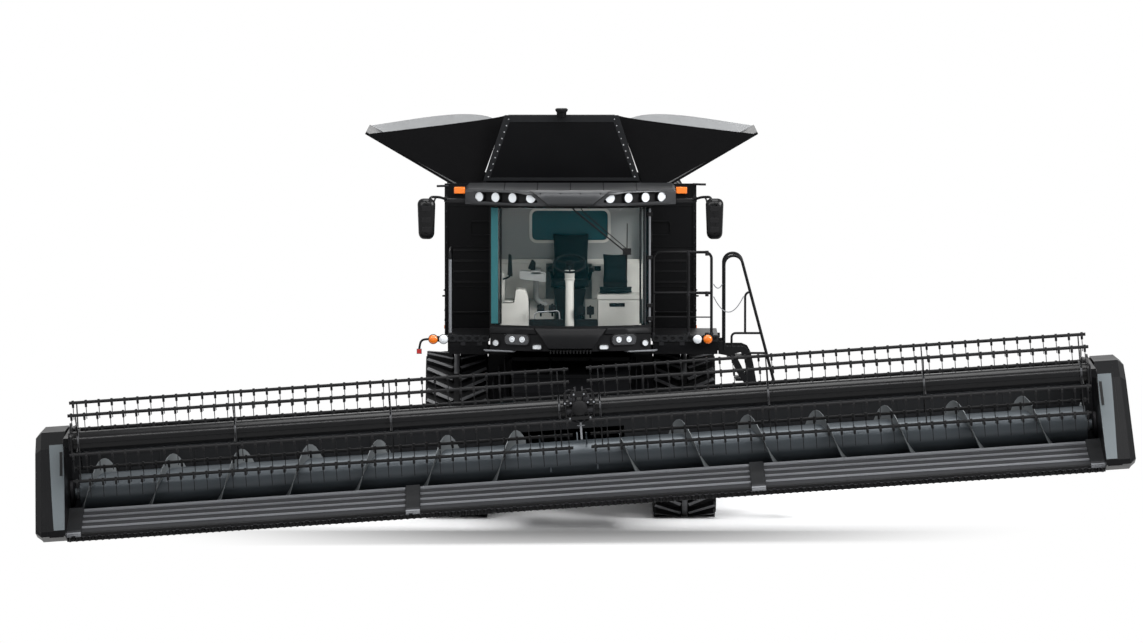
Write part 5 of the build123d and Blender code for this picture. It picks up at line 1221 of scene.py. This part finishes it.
def flights():
    """Smooth flighting that carries the crop to the middle from both sides."""
    shape = Shape(H).use("flight_grey")
    for side, top in FLIGHT_TOPS:
        rings = []
        for x in spread(FEED_X + side * 0.56, side * 5.95, 170):
            turn = 2 * math.pi * side * (x - top) / FLIGHT_PITCH
            rings.append([(x + dx, -radius * math.sin(turn), radius * math.cos(turn))
                          for dx, radius in ((-0.003, 0.231), (-0.003, 0.4), (0.003, 0.4), (0.003, 0.231))])
        shape.rings(rings)
    shape.done("smooth_flights", "auger", stands_for=("auger_flights",), slot="blue_grey_paint")


# ---------------------------------------------------------------- reel
REEL_Y = -1.0
REEL_Z = 0.694
REEL_R = 0.472
REEL_END = HEADER_HALF - 0.11
TINE_PITCH = 0.1524
# the angle of each bat above the reel's front
BAT_TURNS = [math.radians(46 + bat * 60) for bat in range(6)]


def reel_details():
    """Tine holders on the bats, spider edges, end discs, and the drive in the middle."""
    holders = Shape(H).use("black_plastic")
    tines = int((REEL_END - 0.105 - 0.06) / TINE_PITCH)
    for turn in BAT_TURNS:
        y, z = REEL_Y - REEL_R * math.cos(turn), REEL_Z + REEL_R * math.sin(turn)
        for side in SIDES:
            for tine in range(tines + 1):
                x = side * (0.105 + 0.05 + tine * TINE_PITCH)
                holders.rings([[(x + dx, y + 0.008 + py, z + pz) for py,
                                pz in ((-0.032, -0.02), (-0.02, 0.026), (0.016, 0.026), (0.026, -0.034),
                                                                              (0.004, -0.06),
                                       (-0.012, -0.06))] for dx in (-0.013, 0.013)])
    holders.done("tine_holders", "reel", slot="black_plastic")

    spokes = Shape(H).use("dark_steel")
    for side in SIDES:
        for x in (0.24, 0.364 * HEADER_HALF, 0.664 * HEADER_HALF, REEL_END - 0.09):
            for turn in BAT_TURNS:
                out = (-math.cos(turn), math.sin(turn))
                across = (-out[1], out[0])
                spokes.rings([[(side * x + dx, REEL_Y + out[0] * r + across[0] * w, REEL_Z + out[1] * r
                                + across[1] * w)
                               for w,
                               dx in ((-0.033, -0.009), (0.033, -0.009), (0.033, 0.009), (-0.033, 0.009))]
                              for r in (0.128, 0.15)])
            spokes.turned([(-0.012, 0.124), (-0.012, 0.15), (0.012, 0.15), (0.012, 0.124)],
                          (side * x, REEL_Y, REEL_Z), (1, 0, 0), 24)
    spokes.done("spider_hubs", "reel", 0.001, slot="dark_grey_paint")

    drive = Shape(H).use("cast")
    for side in SIDES:
        drive.ovals((REEL_Y - 0.07, REEL_Z + 0.05), "x",
                    [(side * 0.033 + dx, 0.15, 0.2, 0.05) for dx in (0, side * 0.02)])
        drive.turned([(0, 0.05), (0.07, 0.05), (0.075, 0.035)], (side * 0.05, REEL_Y - 0.2, REEL_Z + 0.12),
                     (side, 0, 0), 16)
        drive.turned([(0, 0.035), (0.1, 0.035), (0.105, 0.025)], (side * 0.05, REEL_Y - 0.2, REEL_Z - 0.02),
                     (side, 0, 0), 12)
        drive.rod([(side * 0.05, REEL_Y - 0.2, REEL_Z + 0.22), (side * 0.15, REEL_Y - 0.22, REEL_Z + 0.24),
                   (side * 0.18, REEL_Y - 0.2, REEL_Z + 0.1),
                   (side * 0.15, REEL_Y - 0.2, REEL_Z - 0.12), (side * 0.04, REEL_Y - 0.18, REEL_Z - 0.16)],
                  0.011, 8, 0.05)
    drive.use("black_plastic")
    drive.turned([(0, 0.09), (0.05, 0.09), (0.06, 0.07), (0.07, 0.03)], (0, REEL_Y - 0.2, REEL_Z + 0.02),
                 (0, -1, 0), 20)
    drive.slab((-0.19, 0.19), (REEL_Y - 0.24, REEL_Y - 0.215), (REEL_Z + 0.06, REEL_Z + 0.1))
    drive.slab((-0.15, 0.15), (REEL_Y - 0.24, REEL_Y - 0.215), (REEL_Z - 0.12, REEL_Z - 0.08))
    drive.slab((-0.1, 0.1), (REEL_Y - 0.25, REEL_Y - 0.2), (REEL_Z + 0.15, REEL_Z + 0.21))
    for side in SIDES:
        drive.rod([(side * 0.17, REEL_Y - 0.22, REEL_Z + 0.2), (side * 0.16, REEL_Y - 0.22, REEL_Z - 0.18)],
                  0.012, 8)
        drive.rod([(side * 0.08, REEL_Y - 0.23, REEL_Z + 0.24), (side * 0.07, REEL_Y - 0.25, REEL_Z + 0.05),
                   (side * 0.11, REEL_Y - 0.23, REEL_Z - 0.1)],
                  0.009, 8, 0.04)
    drive.use("slat")
    drive.slab((-0.012, 0.012), (REEL_Y - 0.15, REEL_Y - 0.135), (REEL_Z - 0.36, REEL_Z - 0.16))
    drive.slab((-0.045, 0.045), (REEL_Y - 0.15, REEL_Y - 0.135), (REEL_Z - 0.2, REEL_Z - 0.19))
    for side in SIDES:
        bolts(drive,
              [(side * 0.1, REEL_Y - 0.24, REEL_Z + 0.08), (side * 0.17, REEL_Y - 0.24, REEL_Z + 0.08),
               (side * 0.06, REEL_Y - 0.25, REEL_Z + 0.18),
                      (side * 0.12, REEL_Y - 0.24, REEL_Z - 0.1)], 0.012, 0.01)
    drive.done("reel_drive", "reel_arms", 0.002, slot="cast")

    ends = Shape(H).use("cast")
    for side in SIDES:
        x = side * (HEADER_HALF - 0.05)
        ends.ovals((REEL_Y - 0.02, REEL_Z), "x",
                   [(x + dx, 0.1, 0.11, 0.04) for dx in (-side * 0.05, -side * 0.035)])
        ends.rod([(x - side * 0.045, 0.3, 0.78), (x - side * 0.045, -0.2, 0.79),
                  (x - side * 0.045, -0.86, 0.76)], 0.016, 8, 0.06)
    ends.done("reel_arm_trim", "reel_arms", 0.002, slot="cast")


# ---------------------------------------------------------------- feeder house
def feeder_details():
    """Ribs on the feeder house and a cast bracket at each side."""
    shape = Shape().use("dark_grey_paint")
    for x in (-0.245, 0.235):
        shape.prism([(-0.78, 1.99), (-0.78, 2.03), (-1.5, 1.775), (-1.5, 1.735)], (x - 0.012, x + 0.012), "x")
    shape.use("cast")
    for side in SIDES:
        shape.prism([(-2.2, 1.3), (-2.2, 1.42), (-2.42, 1.36), (-2.42, 1.24)], (side * 0.69, side * 0.74),
                    "x")
    shape.done("feeder_ribs", "feeder", 0.003, slot="dark_grey_paint")


def touch(node, start, way):
    """Where a line from start along way first meets the node, in machine coordinates."""
    if node not in TREES:
        mesh = bmesh.new()
        mesh.from_mesh(NODES[node].data)
        mesh.transform(NODES[node].matrix_world)
        TREES[node] = BVHTree.FromBMesh(mesh)
        mesh.free()
    hit = TREES[node].ray_cast(M(*start), Vector(way).normalized())[0]
    return None if hit is None else Vector((hit.x - X0, hit.y - Y0, hit.z))


TREES = {}


def seam(shape, node, first, last, way, radius=0.006, count=14):
    """A rib along the node's surface, from first to last as seen along way."""
    points = []
    for t in spread(0, 1, count):
        hit = touch(node, Vector(first).lerp(Vector(last), t), way)
        if hit is not None:
            points.append(hit)
    if len(points) > 1:
        shape.rod(points, radius, 6)


def body_details():
    """Seams, vents, handles and lamps on the machine's sides, back and top."""
    shape = Shape().use("satin_black")
    for side in SIDES:
        way = (-side, 0, 0)
        top = 3.25 if side > 0 else 3.8
        for y in (1.25, 2.35, 3.5, 4.6):
            seam(shape, "side_panels", (side * 3, y, 2.1), (side * 3, y, top), way)
        for z in (2.3, 2.42):
            seam(shape, "side_panels", (side * 3, 0.5, z), (side * 3, 5.4, z), way, 0.009, 20)
        for k in range(9):
            z = 2.62 + 0.055 * k
            shape.prism([(side * x, z + dz) for x,
                         dz in ((1.546, 0), (1.566, -0.022), (1.568, -0.018), (1.546, 0.012))],
                        (3.7, 4.42), "y")
        shape.ovals((4.06, 2.83), "x", [(side * x, 0.42 + grow, 0.29 + grow, 0.05) for grow, x in
                                        ((0.0, 1.546), (0.0, 1.556), (-0.02, 1.556), (-0.02, 1.546))],
                    caps=False)
        for y in (1.15, 2.25, 3.4, 4.5):
            shape.rod([(side * 1.546, y - 0.07, 2.56), (side * 1.58, y - 0.06, 2.56),
                       (side * 1.58, y + 0.0, 2.56), (side * 1.546, y + 0.01, 2.56)], 0.009, 8, 0.01)
    for x in (-1.0, -0.5, 0.0, 0.5, 1.0):
        seam(shape, "rear_hood", (x, 3.3, 5), (x, 5.3, 5), (0, 0, -1), 0.008)
    for y in (3.4, 4.2, 5.0):
        seam(shape, "rear_hood", (-1.2, y, 5), (1.0, y, 5), (0, 0, -1), 0.008)
    for z in (2.5, 2.7, 2.9, 3.1, 3.3):
        seam(shape, "rear_hood", (-1.0, 8, z), (1.0, 8, z), (0, -1, 0), 0.01)
    for x in (-0.8, -0.4, 0.0, 0.4, 0.8):
        seam(shape, "cab_roof", (x, -1.7, 6), (x, -0.2, 6), (0, 0, -1), 0.007)
    shape.use("cast")
    for z in (2.25, 3.6):
        hits = [touch("rear_hood", (x, 8, z), (0, -1, 0)) for x in spread(-1.3, 1.3, 9)]
        bolts(shape, [hit for hit in hits if hit is not None], 0.014, 0.01, (0, 1, 0))
    shape.use("red_plastic")
    for side in SIDES:
        hit = touch("rear_hood", (side * 1.28, 8, 2.42), (0, -1, 0))
        if hit is not None:
            shape.ovals((hit.x, hit.z), "y", [(hit.y + out, 0.07 * shrink, 0.12 * shrink, 0.02)
                                              for out, shrink in ((-0.004, 1), (0.03, 1), (0.04, 0.86))])
    shape.use("amber_plastic")
    for side in SIDES:
        for y in (0.8, 3.0, 5.2):
            shape.ovals((y, 2.2), "x", [(side * x, 0.05 * shrink, 0.022 * shrink, 0.008)
                                        for x, shrink in ((1.546, 1), (1.556, 1), (1.56, 0.85))])
    shape.done("body_trim", "machine", 0.0, slot="satin_black")


def wheel_details():
    """Hubs and bolts on the rear wheels and the tracks' wheels."""
    for hand, side in (("left", 1), ("right", -1)):
        centre = Vector(JOINTS[f"rear_wheel_{hand}_spin"]["pos_m"])
        y, z = centre.y - Y0, centre.z
        shape = Shape().use("dark_steel")
        for turn in turns(10):
            hit = touch(f"rear_rim_{hand}", (side * 3, y + 0.16 * math.cos(turn), z + 0.16 * math.sin(turn)),
                        (-side, 0, 0))
            if hit is not None:
                bolts(shape, [hit], 0.018, 0.022, (side, 0, 0))
        hit = touch(f"rear_rim_{hand}", (side * 3, y + 0.02, z), (-side, 0, 0))
        if hit is not None:
            shape.turned([(0, 0.085), (0.03, 0.085), (0.045, 0.07), (0.05, 0.03)], (hit.x, y, z),
                         (side, 0, 0), 20)
        shape.done(f"rear_hub_{hand}", f"rear_wheel_{hand}", 0.002, slot="steel")
        hubs = Shape().use("cast")
        for (y, z), rings in ((TRACK_WHEELS[0], ((0.3, 12), (0.13, 8))), (TRACK_WHEELS[1], ((0.2, 8),)),
                              (TRACK_WHEELS[2], ((0.2, 8),)), ((-0.21, 0.26), ((0.05, 5),)),
                              ((0.21, 0.26), ((0.05, 5),))):
            for radius, count in rings:
                for turn in turns(count, 0.5):
                    hit = touch(f"track_unit_{hand}",
                                (side * 3, y + radius * math.cos(turn), z + radius * math.sin(turn)),
                                (-side, 0, 0))
                    if hit is not None:
                        bolts(hubs, [hit], 0.016, 0.018, (side, 0, 0))
            hit = touch(f"track_unit_{hand}", (side * 3, y, z), (-side, 0, 0))
            if hit is not None:
                hubs.turned([(0, 0.07), (0.02, 0.07), (0.035, 0.05), (0.04, 0.02)], tuple(hit), (side, 0, 0),
                            18)
        hubs.done(f"track_hubs_{hand}", "machine", 0.002, slot="cast")


def unloading_details():
    """Bands and the spout's lip on the unloading auger."""
    shape = Shape().use("satin_black")
    for y in (6.0, 6.9, 7.5):
        shape.turned([(-0.025, 0.1705), (-0.022, 0.182), (0.022, 0.182), (0.025, 0.1705)], (1.292, y, 3.548),
                     (0, 1, 0), 28)
    shape.done("unloading_bands", "unloading_auger", 0.001, slot="satin_black")


def chain(name, points, sag):
    """A thin chain that hangs between two eyes, as a fine round line."""
    first, last = Vector(points[0]), Vector(points[1])
    path = []
    for t in spread(0, 1, 41):
        at = first.lerp(last, t)
        at.z -= 4 * sag * t * (1 - t)
        path.append(tuple(at))
    shape = Shape().use("slat")
    shape.rod(path, 0.006, 8)
    line = shape.done(name, "machine", slot="steel")


def chains():
    """Two safety chains across the opening between the rail and the ladder."""
    chain("gate_chain_upper", ((1.731, RAIL_Y, 2.86), (1.838, -1.2, 2.86)), 0.05)
    chain("gate_chain_lower", ((1.731, RAIL_Y, 2.71), (2.094, -1.2, 2.71)), 0.19)


def under_cab():
    """Frames under the platforms and the hydraulic blocks beside the feeder house."""
    shape = Shape().use("satin_black")
    for side in SIDES:
        outer = 1.78 if side > 0 else 1.47
        shape.prism([(-1.27, 2.166), (-1.27, 2.1), (-1.22, 2.01), (-0.45, 2.01), (-0.4, 2.166)],
                    (side * 1.0, side * outer), "x")
        shape.prism([(-0.52, 2.05), (-0.52, 1.3), (-0.46, 1.2), (-0.44, 1.2), (-0.44, 2.05)],
                    (side * 0.745, side * 1.001), "x")
        shape.slab((side * 0.78, side * 1.001), (-1.2, -0.55), (2.01, 2.08))
    shape.use("cast")
    for side in SIDES:
        for k, x in enumerate((0.79, 0.86, 0.93)):
            shape.turned([(0, 0.028), (0.05, 0.028), (0.052, 0.018), (0.08, 0.018)],
                         (side * x, -0.52, 1.9 - 0.11 * k), (0, -1, 0), 10)
            shape.rod([(side * x, -0.59, 1.9 - 0.11 * k), (side * x, -0.75, 1.88 - 0.11 * k),
                       (side * (x + 0.01), -0.8, 1.6), (side * (x - 0.01), -0.62, 1.36)],
                      0.012, 8, 0.07)
        shape.slab((side * 0.77, side * 0.96), (-0.6, -0.52), (1.95, 2.03))
    shape.use("slat")
    for side in SIDES:
        bolts(shape, [(side * x, -0.6, 1.99) for x in (0.8, 0.865, 0.93)], 0.014, 0.012)
    shape.done("under_platforms", "machine", 0.003, slot="satin_black")


# ---------------------------------------------------------------- make everything
add_camera()
add_floor()
add_light()
visor()
nose()
cab_outside()
cab_inside()
seats()
front_wall()
rail_feet()
signal_lamps()
mirrors()
cover_trim()
corner_sheets()
lug_faces()
under_cab()
body_details()
wheel_details()
unloading_details()
chains()
belts()
knife()
flights()
header_ends()
back_sheet()
reel_details()
feeder_details()

bpy.context.scene.view_settings.view_transform = "Standard"
